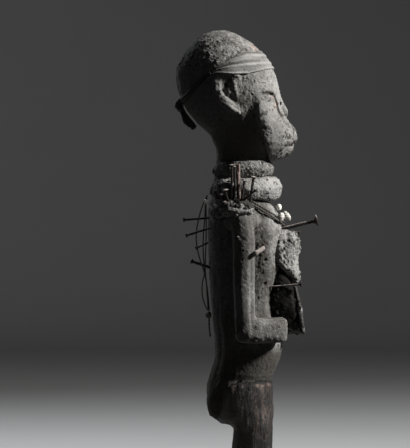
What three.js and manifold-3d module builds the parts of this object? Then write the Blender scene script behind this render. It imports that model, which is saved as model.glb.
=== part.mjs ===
// A standing nkisi figure: a carved wooden figure coated with grey clay down to the waist, with a
// cloth band round its head, two clay-caked rolls round its neck, packs of medicine on its
// shoulders, chest and belly, iron nails driven into it, a necklace and loose cords down its back.
// Millimetres. The figure faces -Y, its right hand is at -X, and +Z is up from the floor.

import * as THREE from 'three';
import { mergeVertices } from 'three/addons/utils/BufferGeometryUtils.js';
import Module from 'manifold-3d';

const wasm = await Module();
wasm.setup();

// Driving dimensions
const BASE = { width: 130, depth: 132, height: 27, corner: 26, edge: 3, centreY: 0 };
const GAP = 0.3;              // clearance between two pieces that touch
const ARM_X = 55;             // centre line of each upper arm, from the middle plane
const LEG_X = 23;             // centre line of each leg
const BAND_THICKNESS = 3.2;   // the headband's cloth, with what cakes it
const WOOD_BEDDING = 12;      // how deep a nail goes into the wood
const PACK_BEDDING = 8;       // how deep a nail goes into a shoulder pack
const CORD_DIAMETER = 1.5;    // each loose cord down the back
const STRAND_RADIUS = 1.2;    // each strand of the necklace
const HEAD_MESH = { around: 18, rows: 11 };   // faces round the skull and up it
const FACE_MESH = { around: 16, rows: 8 };    // faces round the face and up it
const JAW = { lean: 15, reach: 148.1 };       // the face's edge: its lean and its distance

// Upright bodies, low to high: height, front face (Y), back face (Y), half width, squareness
const HEAD = [
  [479, -20, 34, 26, 2], [494, -25, 34.3, 28.5, 2.1], [508, -28, 38.5, 32, 2.2],
  [519, -29, 48.5, 36.5, 2.3], [529, -30, 60, 41, 2.3], [545, -34, 71, 46, 2.3],
  [560, -34.5, 76.5, 47.5, 2.2], [573, -32.5, 79, 47.5, 2.1], [586, -26, 79, 46.5, 2],
  [598, -19, 75, 43, 2], [608, -11.5, 68, 37.5, 2], [617, 0.5, 58.5, 29, 2],
  [623.5, 13, 48, 18, 2], [627, 24, 38, 7, 2],
];
const FACE = [
  [479, -30, 14, 17, 2], [487, -41.5, 25.5, 27, 2.1], [494, -47, 31, 32.5, 2.2],
  [501, -49.5, 33.5, 36.5, 2.2], [508, -53, 37, 39.5, 2.1], [519, -50, 34, 42.5, 2],
  [529, -42.5, 26.5, 44.5, 1.9], [545, -36, 20, 45, 1.85], [556, -34.8, 18.8, 43, 1.85],
  [568, -33.5, 17.5, 37, 1.85],
];
const NECK = [
  [424, -20, 41, 36, 2], [445, -20, 41, 31, 2], [462, -20, 37, 28, 2], [488, -20, 34, 26, 2],
];
const TORSO = [
  [236, -23.5, 44.5, 40, 2.2], [247, -26, 42.3, 40.5, 2.2], [260, -33, 36.7, 41, 2.2],
  [272, -37, 35.8, 41.5, 2.2], [282, -38.3, 36.4, 41, 2.2], [302, -34, 38, 39, 2.3],
  [325, -28.5, 40, 38, 2.3], [345, -31.5, 41.5, 40, 2.3], [368, -36.5, 43.5, 43, 2.4],
  [392, -39, 44, 45.5, 2.5], [412, -38.5, 44, 46, 2.5], [424, -33.5, 44, 45, 2.5],
  [434, -26.5, 43, 41, 2.4], [442, -17, 41, 35, 2.2],
];
const HIPS = [
  [190, -26.5, 14, 35, 2.2], [199, -28, 29, 41, 2.2], [208, -28.2, 39, 44, 2.2],
  [220, -27.4, 44.2, 45, 2.2], [232, -26.6, 45.4, 44.6, 2.2], [239, -26.2, 45.2, 44, 2.2],
  [242, -25, 44.2, 42, 2.2],
];
const UPPER_ARM = [
  [287, -4, 6, 9, 2.2], [295, -7, 11, 12.5, 2.2], [312, -7, 15, 12.5, 2.2],
  [350, -6.5, 17, 12, 2.2], [400, -6.5, 17.5, 12.5, 2.2], [420, -5, 21, 13, 2],
  [429, 0, 19, 8, 2],
];
const LEG = [
  [22, -14, 16, 13, 2.2], [40, -14, 17, 12.5, 2], [54, -13, 15.5, 11.5, 2],
  [72, -14, 20, 13.5, 2], [94, -17, 24, 15.5, 2], [113, -23, 15, 14, 2],
  [129, -30, 12, 15.5, 2], [146, -27.5, 16, 16, 2], [167, -26, 18.7, 17.5, 2.1],
  [189, -27.2, 16, 18.5, 2.1], [206, -27.5, 20, 18, 2.1],
];
const CHEST_PACK = [
  [349.5, -55.5, -50.5, 13, 2.2], [354, -56.4, -46, 20, 2.4], [365, -55.2, -36, 25, 2.5],
  [378, -55, -24, 27, 2.5], [390, -57.2, -24, 27.5, 2.5], [398, -56.8, -24, 25, 2.4],
  [404, -51, -28, 19, 2.2], [408.5, -43, -32, 11, 2],
];
const BELLY_PACK = [
  [294.5, -56, -22, 20.5, 4], [297, -57.5, -20, 23, 4.5], [311, -55.6, -17.5, 23.5, 5],
  [319, -54.5, -16.5, 27, 5], [338, -51, -19, 27, 4.5], [347, -49.5, -22, 26, 3.5],
  [356, -44.5, -24, 25, 3], [364, -38.5, -26, 21, 2.6],
];
const BELLY_COVER = [
  [292.5, -61, -58.6, 17, 2.6], [296, -62, -57.6, 23, 3], [306, -60.4, -55.9, 25.5, 3.5],
  [322, -58.4, -53.6, 25, 3.5], [334, -55.6, -51.4, 23.5, 3], [345, -53, -49.9, 17, 2.4],
];

// Bodies that run forward: distance forward (-Y), centre X, centre Z, half width, half height
const FOREARM = [
  [-13, ARM_X, 299, 8.5, 9, 2.4], [-8, ARM_X - 0.5, 298.5, 12.5, 13.4, 2.9],
  [10, ARM_X - 4, 298.5, 12.5, 13.5, 3.2], [25, ARM_X - 10, 298.7, 12.5, 13.4, 3.4],
  [37, ARM_X - 15.5, 298.4, 12.5, 14, 3.4], [41.5, ARM_X - 17.5, 298.2, 10.5, 11.5, 3],
];
const FOOT = [
  [-21, LEG_X + 0.5, 31, 8, 8, 2.2], [-16, LEG_X + 0.5, 33, 12, 11, 2.2],
  [2, LEG_X + 1, 34, 14, 12, 2.2], [24, LEG_X + 2.5, 31, 16.5, 8.5, 2.3],
  [42, LEG_X + 3, 29.5, 16, 6.5, 2.4], [48, LEG_X + 3, 28.5, 11.5, 4, 2.2],
];
const NOSE = [
  [30, 0, 566, 3.2, 3.5, 2], [34, 0, 560, 4.2, 6, 2], [38.5, 0, 547, 7, 10.5, 2.2],
  [42, 0, 538.5, 8.5, 6.5, 2.2], [44.6, 0, 536.5, 5.5, 3.2, 2],
];

/** Merges a geometry's vertices and turns its faces outwards, and gives it as a solid. */
function toSolid(geometry) {
  const plain = geometry.clone();
  plain.deleteAttribute('normal');
  plain.deleteAttribute('uv');
  const merged = mergeVertices(plain, 1e-4);
  const vertProperties = Float32Array.from(merged.attributes.position.array);
  const triVerts = [];
  const index = merged.index.array;
  const corner = (i) => new THREE.Vector3().fromArray(vertProperties, 3 * i);
  let volume = 0;
  for (let i = 0; i < index.length; i += 3) {
    const [a, b, c] = [index[i], index[i + 1], index[i + 2]];
    if (a === b || b === c || c === a) continue;
    triVerts.push(a, b, c);
    volume += corner(a).dot(corner(b).cross(corner(c)));
  }
  if (volume < 0) triVerts.reverse();
  const mesh = new wasm.Mesh({ numProp: 3, vertProperties, triVerts: Uint32Array.from(triVerts) });
  return new wasm.Manifold(mesh);
}

/** Gives a solid back as a geometry with flat faces. */
function toGeometry(solid) {
  const mesh = solid.getMesh();
  const geometry = new THREE.BufferGeometry();
  geometry.setAttribute('position', new THREE.BufferAttribute(mesh.vertProperties, 3));
  geometry.setIndex(new THREE.BufferAttribute(mesh.triVerts, 1));
  geometry.computeVertexNormals();
  return geometry;
}

const join = (solids) => solids.reduce((whole, next) => whole.add(next));
const cut = (solid, cutters) => cutters.reduce((whole, next) => whole.subtract(next), solid);
const bothSides = (make) => [-1, 1].map(make);

/**
 * A closed body through oval stations, each with its centre, half sizes along u and v, and
 * squareness, where 2 is an ellipse. A larger grow makes the same body fatter all round.
 */
function loft(stations, { u, v, around, rows, grow = 0 }) {
  const centres = new THREE.CatmullRomCurve3(stations.map((s) => s.centre));
  const sizes = new THREE.CatmullRomCurve3(
    stations.map((s) => new THREE.Vector3(s.halfU, s.halfV, s.square)),
  );
  const geometry = new THREE.CylinderGeometry(1, 1, 1, around, rows);
  const place = geometry.attributes.position;
  for (let i = 0; i < place.count; i += 1) {
    const t = THREE.MathUtils.clamp(place.getY(i) + 0.5, 0, 1);
    const radius = Math.hypot(place.getX(i), place.getZ(i)) > 0.5 ? 1 : 0;
    const angle = Math.atan2(place.getZ(i), place.getX(i));
    const centre = centres.getPoint(t);
    const size = sizes.getPoint(t);
    const power = 2 / size.z;
    const along = (value, half) => radius * (half + grow) * Math.sign(value)
      * Math.abs(value) ** power;
    const point = centre
      .addScaledVector(u, along(Math.cos(angle), size.x))
      .addScaledVector(v, along(Math.sin(angle), size.y));
    if (t === 0 || t === 1) {
      point.addScaledVector(centres.getTangent(t), t === 0 ? -grow : grow);
    }
    place.setXYZ(i, point.x, point.y, point.z);
  }
  return toSolid(geometry);
}

const X = new THREE.Vector3(1, 0, 0);
const Y = new THREE.Vector3(0, 1, 0);
const Z = new THREE.Vector3(0, 0, 1);

/** Stations of an upright body, which stands at a distance from the middle plane. */
function upright(table, centreX = 0) {
  return table.map(([z, front, back, half, square]) => ({
    centre: new THREE.Vector3(centreX, (front + back) / 2, z),
    halfU: half,
    halfV: (back - front) / 2,
    square,
  }));
}

/** Stations of a body that runs forward, on one side of the middle plane. */
function forward(table, side = 1) {
  return table.map(([reach, x, z, halfX, halfZ, square]) => ({
    centre: new THREE.Vector3(side * x, -reach, z),
    halfU: halfX,
    halfV: halfZ,
    square,
  }));
}

const standing = (table, options, centreX = 0) => (
  loft(upright(table, centreX), { u: X, v: Y, ...options })
);
const reaching = (table, options, side = 1) => (
  loft(forward(table, side), { u: X, v: Z, ...options })
);

/** An ellipsoid with its half sizes, turned about X, Y and Z in degrees. */
function ball([x, y, z], [a, b, c], { turn = [0, 0, 0], around = 8, rows = 5, grow = 0 } = {}) {
  const geometry = new THREE.SphereGeometry(1, around, rows);
  geometry.scale(a + grow, b + grow, c + grow);
  const angles = turn.map(THREE.MathUtils.degToRad);
  geometry.applyMatrix4(new THREE.Matrix4().makeRotationFromEuler(new THREE.Euler(...angles)));
  geometry.translate(x, y, z);
  return toSolid(geometry);
}

/** A tube of equal sides along a smooth path. */
function tube(points, radius, { sides = 8, steps, grow = 0, flat = 1 } = {}) {
  const path = new THREE.CatmullRomCurve3(points.map((p) => new THREE.Vector3(...p)));
  const outline = [];
  for (let i = 0; i < sides; i += 1) {
    const angle = (2 * Math.PI * i) / sides;
    const [a, b] = [(radius + grow) * Math.cos(angle), (radius + grow) * flat * Math.sin(angle)];
    outline.push(new THREE.Vector2(a, b));
  }
  const options = { steps, extrudePath: path, bevelEnabled: false };
  return toSolid(new THREE.ExtrudeGeometry(new THREE.Shape(outline), options));
}

/** A closed roll round the neck: an oval path and an oval section that swells and thins. */
function neckRoll({ centre, pathX, pathY, thick, high, tilt, swell, grow = 0 }) {
  const geometry = new THREE.TorusGeometry(1, 0.5, 6, 18);
  const place = geometry.attributes.position;
  const lean = Math.tan(THREE.MathUtils.degToRad(tilt));
  for (let i = 0; i < place.count; i += 1) {
    const round = Math.atan2(place.getY(i), place.getX(i));
    const out = (Math.hypot(place.getX(i), place.getY(i)) - 1) / 0.5;
    const up = place.getZ(i) / 0.5;
    const wave = 1 + swell * Math.sin(3 * round + 1) + swell * Math.sin(7 * round) / 2;
    const reach = (thick * wave + grow) * out;
    const x = (pathX + reach) * Math.cos(round);
    const y = (pathY + reach) * Math.sin(round);
    const z = (high * wave + grow) * up - lean * y;
    place.setXYZ(i, centre[0] + x, centre[1] + y, centre[2] + z);
  }
  return toSolid(geometry);
}

/** The block under the feet, carved in one with them. */
function baseBlock(grow) {
  const { width, depth, height, corner, edge, centreY } = BASE;
  const [a, b] = [width / 2 - edge, depth / 2 - edge];
  const outline = new THREE.Shape();
  outline.moveTo(-a + corner, -b);
  outline.lineTo(a - corner, -b);
  outline.absarc(a - corner, -b + corner, corner, -Math.PI / 2, 0);
  outline.lineTo(a, b - corner);
  outline.absarc(a - corner, b - corner, corner, 0, Math.PI / 2);
  outline.lineTo(-a + corner, b);
  outline.absarc(-a + corner, b - corner, corner, Math.PI / 2, Math.PI);
  outline.lineTo(-a, -b + corner);
  outline.absarc(-a + corner, -b + corner, corner, Math.PI, 1.5 * Math.PI);
  const geometry = new THREE.ExtrudeGeometry(outline, {
    depth: height - 2 * edge + grow,
    bevelThickness: edge,
    bevelSize: edge + grow,
    bevelSegments: 1,
    curveSegments: 3,
  });
  geometry.translate(0, centreY, edge);
  return toSolid(geometry);
}

/** One ear: a raised rim in the shape of a C that runs down and forward to its lobe. */
function ear(side, grow) {
  const rim = [[12, 574], [24, 577], [34, 572], [35, 559], [30, 547.5], [21, 540], [10.5, 534]];
  const points = rim.map(([y, z]) => [side * (47.5 - 0.11 * Math.abs(y - 20)), y, z]);
  return tube(points, 3.6, { sides: 5, steps: 8, grow });
}

/** The face from the brow to the chin, which ends in a sharp edge in front of the neck. */
function faceMask(grow) {
  const lean = THREE.MathUtils.degToRad(JAW.lean);
  const whole = standing(FACE, { ...FACE_MESH, grow });
  return whole.trimByPlane([0, -Math.cos(lean), Math.sin(lean)], JAW.reach - grow);
}

/** The whole carving with its clay coat, one piece of wood from the block to the crown. */
function carving(grow = 0) {
  const trunk = [
    faceMask(grow),
    standing(HEAD, { ...HEAD_MESH, grow }),
    standing(NECK, { around: 12, rows: 2, grow }),
    standing(TORSO, { around: 14, rows: 10, grow }),
    standing(HIPS, { around: 14, rows: 4, grow }),
    reaching(NOSE, { around: 8, rows: 4, grow }),
    ball([0, -47.3, 507], [17, 7.5, 6.1], { turn: [-14, 0, 0], grow }),
    ball([0, -42.6, 493.6], [12.5, 6.6, 4.3], { grow }),
    baseBlock(grow),
  ];
  const pairs = bothSides((side) => [
    standing(UPPER_ARM, { around: 10, rows: 6, grow }, side * ARM_X),
    reaching(FOREARM, { around: 10, rows: 5, grow }, side),
    standing(LEG, { around: 8, rows: 9, grow }, side * LEG_X),
    reaching(FOOT, { around: 8, rows: 5, grow }, side),
    ball([side * 45, 7, 417], [19, 20, 13], { grow }),
    ball([side * 20, 22.5, 218.5], [21.5, 24, 25.5], { grow }),
    ball([side * 29, -24.5, 553], [8.5, 4.5, 5], { turn: [0, 0, side * 42], grow }),
    ear(side, grow),
  ]);
  return join([...trunk, ...pairs.flat()]);
}

/** The cloth band: what lies between two edges seen from the side, all round the skull. */
function headband() {
  const upper = [[-40, 605], [-20, 604], [2, 601], [20, 593.5], [37, 583], [57, 568], [88, 541]];
  const lower = [[88, 532], [67, 547], [52, 564], [37, 577], [20, 575.5], [0, 577], [-40, 587]];
  const spline = (points) => new THREE.SplineCurve(points.map((p) => new THREE.Vector2(...p)));
  const outline = [...spline(upper).getPoints(5), ...spline(lower).getPoints(5)];
  const slab = new THREE.ExtrudeGeometry(new THREE.Shape(outline), {
    depth: 120,
    bevelEnabled: false,
  });
  slab.translate(0, 0, -60);
  slab.applyMatrix4(new THREE.Matrix4().makeBasis(Y, Z, X));
  const skin = standing(HEAD, { ...HEAD_MESH, grow: BAND_THICKNESS });
  return skin.intersect(toSolid(slab));
}

/** The knot of the band at the nape, with its pointed tail. */
function headbandKnot() {
  const tail = [[3, 71, 546], [1, 71, 538], [-2, 66, 528], [-4, 58.5, 518.5]];
  return join([
    ball([0, 73, 546.5], [10, 6, 6.5], { turn: [20, 0, 12] }),
    ball([6, 71.5, 541], [7, 5, 6], { turn: [0, 0, -20] }),
    tube(tail, 4.4, { steps: 4, sides: 6, flat: 0.6 }),
  ]);
}

const UPPER_ROLL = {
  centre: [0, 5.8, 473], pathX: 27, pathY: 26.8, thick: 7.8, high: 11.5, tilt: 3, swell: 0.05,
};
const LOWER_ROLL = {
  centre: [0, 3.2, 451.5], pathX: 35.5, pathY: 29.8, thick: 10.8, high: 14, tilt: 2, swell: 0.05,
};

/** The lumps of medicine that hold the nails on one shoulder. */
function shoulderPack(side) {
  const lumps = side < 0
    ? [[56, 13, 429.5, 15, 19, 11], [44, 24, 448, 10.5, 13, 15], [43, 31, 428, 10, 9, 9]]
    : [[54, 12, 430, 15, 17, 11], [45, 21, 444, 11, 12, 13]];
  return join(lumps.map(([x, y, z, a, b, c]) => (
    ball([side * x, y, z], [a, b, c], { around: 9, rows: 5 })
  )));
}

// Nails: where the head is, where the shaft goes in, shaft and head radius, head height
const WOOD_NAILS = {
  chest_nail: { head: [-9, -77, 417.6], entry: [-9, -37, 408], shaft: 2, cap: 6.9, high: 3 },
  chest_nail_small: { head: [17, -57.5, 403.2], entry: [15, -36, 406.4], shaft: 1.2, cap: 2.8 },
  gap_nail: { head: [-27.5, -58.5, 347.8], entry: [-27.5, -26, 345.6], shaft: 1, cap: 3.1 },
  back_nail_1: { head: [-13, 71.5, 418], entry: [-12, 43, 420.3], shaft: 1.3, cap: 2.9 },
  back_nail_2: { head: [-21, 68.5, 400.5], entry: [-20, 42, 409], shaft: 1.2, cap: 2.7 },
  back_nail_3: { head: [2, 58, 386.7], entry: [2, 42.5, 394], shaft: 1.1, cap: 2.5 },
  back_nail_4: { head: [-11, 63, 373], entry: [-12, 42.5, 366.5], shaft: 1.7, cap: 3.4 },
  arm_nail: { head: [-72, 13, 398.6], entry: [-66.5, 8.6, 395.5], shaft: 1.2, cap: 2.6 },
  left_side_nail: { head: [62, -26, 372], entry: [42, -17, 376], shaft: 1.3, cap: 2.9 },
};
const PACK_NAILS = {
  shoulder_nail_1: { head: [-61, 18.3, 478], entry: [-59.5, 19.5, 439], shaft: 1.4, cap: 3.3 },
  shoulder_nail_2: { head: [-57.5, 15.6, 476], entry: [-57, 15, 440], shaft: 1.3, cap: 2.2 },
  shoulder_nail_3: { head: [-63, 4.7, 461], entry: [-61, 7.7, 438.5], shaft: 1.2, cap: 2.2 },
  shoulder_nail_4: { head: [-60, -5.4, 465], entry: [-58, -1.6, 437.5], shaft: 1.4, cap: 3.8 },
  shoulder_nail_5: { head: [-64, 25.4, 451], entry: [-60, 22.8, 437.5], shaft: 1.3, cap: 3.2 },
  shoulder_nail_6: { head: [-59, 30, 446], entry: [-54, 27, 437.5], shaft: 1.2, cap: 2.5 },
  shoulder_nail_7: { head: [-68, 27, 437], entry: [-63, 25, 433], shaft: 1.1, cap: 2.6 },
  shoulder_cross_nail: { head: [-70, -8, 451], entry: [-60, 4.5, 440], shaft: 1.1, cap: 2 },
  left_shoulder_nail_1: { head: [57, 17, 473], entry: [56, 16, 440], shaft: 1.2, cap: 3.2 },
  left_shoulder_nail_2: { head: [61, 7, 463], entry: [59, 7, 438], shaft: 1.2, cap: 2.8 },
  left_shoulder_nail_3: { head: [49, 25, 466], entry: [49.5, 23, 449], shaft: 1.1, cap: 2.5 },
};
const NAILS = [
  ...Object.entries(WOOD_NAILS).map(([name, size]) => ({ name, ...size, deep: WOOD_BEDDING })),
  ...Object.entries(PACK_NAILS).map(([name, size]) => ({ name, ...size, deep: PACK_BEDDING })),
];

/** A nail from its head to its point, which lies past the entry by its bedding. */
function nail({ head, entry, shaft, cap, high = 1.5, deep }, grow = 0) {
  const top = new THREE.Vector3(...head);
  const inward = new THREE.Vector3(...entry).sub(top);
  const length = inward.length() + deep;
  const point = 4 * shaft;
  const profile = [
    [0, -grow], [0.7 * cap + grow, -grow], [cap + grow, high + grow],
    [shaft + grow, high + grow], [shaft + grow, length - point], [0, length + grow],
  ];
  const sides = cap > 5 ? 10 : 5;
  const geometry = new THREE.LatheGeometry(profile.map((p) => new THREE.Vector2(...p)), sides);
  geometry.applyQuaternion(new THREE.Quaternion().setFromUnitVectors(Y, inward.normalize()));
  geometry.translate(...head);
  return toSolid(geometry);
}

// The bent nail in the armpit, the wooden peg on the shoulder and the bone pin behind it
const BENT_NAIL = [[-30, -19, 402], [-42, -21.8, 396], [-51.5, -18.4, 389.4], [-58, -13.6, 386],
  [-66, -7.2, 382.3]];
const PEG = [[-54, 11, 433], [-54, 11.3, 448], [-54.2, 11.4, 463], [-54.5, 11.4, 478.5]];
const BONE_PIN = [[-43.5, 31, 423], [-47, 38.5, 430.3], [-50, 46.5, 438.3]];
const bentNail = (grow = 0) => tube(BENT_NAIL, 2.2, { steps: 7, grow });
const peg = (grow = 0) => tube(PEG, 2.7, { steps: 4, grow, flat: 0.8 });
const bonePin = (grow = 0) => tube(BONE_PIN, 1.4, { steps: 3, grow });

/** Half width of the torso at a height and depth, which lays the necklace on its surface. */
function torsoHalfWidth(y, z) {
  const upper = TORSO.findIndex((row) => row[0] >= z);
  const [low, high] = [TORSO[upper - 1], TORSO[upper]];
  const share = (z - low[0]) / (high[0] - low[0]);
  const [, front, back, half, square] = low.map((value, i) => (
    THREE.MathUtils.lerp(value, high[i], share)
  ));
  const across = Math.min(1, Math.abs((2 * y - front - back) / (back - front)));
  return half * (1 - across ** square) ** (1 / square);
}

/** One strand of the necklace: from under the roll, over both shoulders, to the chest. */
function necklaceStrand(drop, grow = 0) {
  const lowest = { y: -39.6, z: 415.3 };
  const shoulder = { y: -4, z: 438 };
  const points = [];
  const count = 6;
  for (let i = -count; i <= count; i += 1) {
    const share = Math.abs(i) / count;
    const y = THREE.MathUtils.lerp(lowest.y, shoulder.y, share ** 1.1);
    const z = THREE.MathUtils.lerp(lowest.z, shoulder.z, share) - drop;
    const half = torsoHalfWidth(y + 1.9, z) + 1.7 * share;
    points.push([Math.sign(i) * half, y, z]);
  }
  const behind = (side) => [side * 37.5, 8, 443.5 - drop];
  return tube([behind(-1), ...points, behind(1)], STRAND_RADIUS, { sides: 5, steps: 14, grow });
}

// The loose cords, from under the lower roll down the back to their knot, points laid by hand
const CORD_ROUTES = {
  back_cord_1: [
    [-16, 44.6, 445], [-16.3, 46.8, 441], [-16.6, 49.6, 434.5], [-16.8, 52.2, 427],
    [-16.9, 54.6, 417.5], [-16.8, 56.4, 408], [-16.5, 57, 399], [-16.2, 56.2, 389],
    [-15.8, 54, 379], [-15.2, 51.2, 370], [-14.2, 48.4, 361.5], [-12.4, 46.3, 352],
    [-10.2, 45.4, 342], [-8, 44.8, 332], [-6.2, 44.2, 324], [-5.2, 43.6, 318.4],
  ],
  back_cord_2: [
    [-6, 45, 444], [-6, 46.4, 438], [-6, 47, 431], [-6, 47.4, 421], [-5.9, 48.4, 410],
    [-5.7, 49.2, 399], [-5.5, 49.4, 388], [-5.3, 49, 377], [-5.1, 48.2, 367],
    [-5, 48.2, 358], [-4.9, 50, 350], [-4.5, 50.6, 341], [-4, 49.6, 332],
    [-3.6, 47.2, 324.5], [-3.4, 44.4, 318.6],
  ],
  back_cord_3: [
    [7, 45.4, 443], [7, 46.2, 436], [6.9, 46.2, 427], [6.8, 46, 416], [6.6, 46, 405],
    [6.2, 46.2, 394], [5.6, 46.6, 383], [4.8, 47, 372], [3.8, 47, 361], [2.4, 46, 351],
    [0.9, 44.8, 342], [-0.4, 43.8, 333], [-1.2, 43.1, 325], [-1.6, 42.7, 318.6],
  ],
};
const cord = (points) => tube(points, CORD_DIAMETER / 2, { sides: 5, steps: 16 });

/** The knot that gathers the cords, with the short end that hangs out of it. */
function cordKnot() {
  const end = [[-3.4, 43, 312], [-3.2, 42.8, 303], [-3.6, 42.2, 296], [-3, 41.4, 289.5]];
  return join([
    ball([-3.4, 43.2, 313.6], [3.6, 3.1, 4.4]),
    tube(end, 1, { steps: 5 }),
  ]);
}

// Materials
const clay = new THREE.MeshStandardMaterial({ color: 0x8b8a86, roughness: 0.95 });
const cloth = new THREE.MeshStandardMaterial({ color: 0x9c9b99, roughness: 0.9 });
const resin = new THREE.MeshStandardMaterial({ color: 0x17140f, roughness: 0.8 });
const iron = new THREE.MeshStandardMaterial({ color: 0x4a3830, roughness: 0.75, metalness: 0.6 });
const fibre = new THREE.MeshStandardMaterial({ color: 0x2a241d, roughness: 0.9 });
const bone = new THREE.MeshStandardMaterial({ color: 0xe6e0d2, roughness: 0.5 });
const shell = new THREE.MeshStandardMaterial({ color: 0xa39c90, roughness: 0.6 });
const wood = new THREE.MeshStandardMaterial({ color: 0x5b4238, roughness: 0.85 });

const clearance = carving(GAP);
const nailBores = NAILS.map((shape) => nail(shape, GAP));
const bores = [...nailBores, bentNail(GAP), peg(GAP), bonePin(GAP)];
const upperRollSpace = neckRoll({ ...UPPER_ROLL, grow: GAP });
const lowerRollSpace = neckRoll({ ...LOWER_ROLL, grow: GAP });
const strandSpaces = [necklaceStrand(0, GAP), necklaceStrand(3.2, GAP)];
const bandOuter = standing(HEAD, { ...HEAD_MESH, grow: BAND_THICKNESS + GAP });
const coverSpace = standing(BELLY_COVER, { around: 10, rows: 5, grow: GAP });
const chestPackSpace = standing(CHEST_PACK, { around: 12, rows: 7, grow: GAP });

const figure = new THREE.Group();

/** Adds one named piece to the figure. */
function addPiece(name, solid, material) {
  const mesh = new THREE.Mesh(toGeometry(solid), material);
  mesh.name = name;
  figure.add(mesh);
}

addPiece('figure', cut(carving(), bores), clay);
addPiece('headband', cut(headband(), [clearance]), cloth);
addPiece('headband_knot', cut(headbandKnot(), [clearance, bandOuter]), cloth);
addPiece('neck_roll_upper', cut(neckRoll(UPPER_ROLL), [clearance, ...bores]), clay);
addPiece('neck_roll_lower', cut(neckRoll(LOWER_ROLL), [clearance, upperRollSpace, ...bores]), clay);
bothSides((side) => {
  const name = side < 0 ? 'shoulder_pack_right' : 'shoulder_pack_left';
  const spaces = [clearance, lowerRollSpace, upperRollSpace, ...strandSpaces, ...bores];
  addPiece(name, cut(shoulderPack(side), spaces), clay);
});
addPiece('chest_pack', cut(standing(CHEST_PACK, { around: 12, rows: 7 }),
  [clearance, ...strandSpaces, ...bores]), clay);
addPiece('belly_pack', cut(standing(BELLY_PACK, { around: 12, rows: 7 }),
  [clearance, coverSpace, chestPackSpace, ...bores]), resin);
addPiece('belly_pack_cover', cut(standing(BELLY_COVER, { around: 10, rows: 5 }), bores), clay);
addPiece('necklace_strand_upper', cut(necklaceStrand(0), [clearance, lowerRollSpace]), fibre);
addPiece('necklace_strand_lower', cut(necklaceStrand(3.2), [clearance, lowerRollSpace]), fibre);
addPiece('white_bead', cut(ball([-7, -33.6, 432], [3.2, 3.3, 4.2]), [clearance]), bone);
addPiece('grey_bead', cut(ball([-28, -35.4, 421], [3.8, 3.9, 5.8], { turn: [14, 0, 0] }),
  [clearance, ...strandSpaces]), shell);
addPiece('shell_pendant', cut(ball([1, -42.8, 422.5], [4.2, 3.6, 6.4], { turn: [-38, 0, 0] }),
  [clearance, ...strandSpaces]), shell);
for (const shape of NAILS) addPiece(shape.name, nail(shape), iron);
addPiece('armpit_nail_bent', bentNail(), iron);
addPiece('shoulder_peg', peg(), wood);
addPiece('bone_pin', bonePin(), bone);
for (const [name, route] of Object.entries(CORD_ROUTES)) addPiece(name, cord(route), fibre);
addPiece('cord_knot', cut(cordKnot(), [clearance]), fibre);

export default figure;
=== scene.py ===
# A standing nkisi figure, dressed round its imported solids: the carving with its clay coat and the
# bare wood under it, the cloth band, the clay-caked rolls and packs, the nails, the necklace and
# the loose cords. Everything is shaped in millimetres and turned to metres as its mesh is made.

import math

import bpy
import numpy as np
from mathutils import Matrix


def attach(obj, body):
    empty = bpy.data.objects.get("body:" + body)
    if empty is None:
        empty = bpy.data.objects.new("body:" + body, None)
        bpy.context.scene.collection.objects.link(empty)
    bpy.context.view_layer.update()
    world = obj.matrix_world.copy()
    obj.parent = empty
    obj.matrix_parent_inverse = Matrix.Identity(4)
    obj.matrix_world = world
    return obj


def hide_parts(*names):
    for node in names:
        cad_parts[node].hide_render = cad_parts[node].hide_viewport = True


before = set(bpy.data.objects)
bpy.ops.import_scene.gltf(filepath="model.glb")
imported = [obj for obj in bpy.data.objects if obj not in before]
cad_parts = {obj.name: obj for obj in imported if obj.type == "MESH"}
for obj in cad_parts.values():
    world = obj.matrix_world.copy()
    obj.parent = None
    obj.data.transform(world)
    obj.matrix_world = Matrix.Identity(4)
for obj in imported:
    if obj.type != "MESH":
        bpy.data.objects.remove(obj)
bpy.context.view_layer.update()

import openvdb
from mathutils import Matrix, Vector

MM = 0.001

# Camera, lights and stage

CAMERA_PLACE = (-3.0, 0.0473, 0.4136)
CAMERA_LENS = 219.16
CAMERA_REACH = 60
FIGURE_MIDDLE = Vector((0, 0.005, 0.40))
# Each lamp's bearing, height, distance, size in metres, watts and tint
LAMPS = {
    "key_lamp": (11, 32, 2.4, 0.35, 142, (1.0, 0.985, 0.96)),
    "fill_lamp": (112, 16, 3.2, 1.8, 0.85, (0.9, 0.94, 1.0)),
    "back_lamp": (240, 32, 2.8, 1.2, 24, (0.94, 0.97, 1.0)),
}
ROOM_COLOUR, ROOM_LIGHT = (0.86, 0.9, 1.0, 1), 0.010


def stand_camera():
    """The camera looks level at the figure's right side."""
    camera = bpy.data.objects.new("camera", bpy.data.cameras.new("camera"))
    camera.location = CAMERA_PLACE
    camera.rotation_euler = (math.radians(90), 0, math.radians(-90))
    camera.data.lens = CAMERA_LENS
    camera.data.clip_end = CAMERA_REACH
    bpy.context.collection.objects.link(camera)
    bpy.context.scene.camera = camera


def hang_lamp(name, bearing, height, distance, size, watts, tint):
    """A soft square lamp aimed at the figure. Bearing 0 is in front of it, 90 at its right."""
    lamp = bpy.data.lights.new(name, "AREA")
    lamp.size, lamp.energy, lamp.color = size, watts, tint
    holder = bpy.data.objects.new(name, lamp)
    a, e = math.radians(bearing), math.radians(height)
    away = Vector((-math.sin(a) * math.cos(e), -math.cos(a) * math.cos(e), math.sin(e)))
    holder.location = FIGURE_MIDDLE + away * distance
    holder.rotation_mode = "QUATERNION"
    holder.rotation_quaternion = (-away).to_track_quat("-Z", "Y")
    holder.visible_camera = False
    bpy.context.collection.objects.link(holder)


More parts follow.
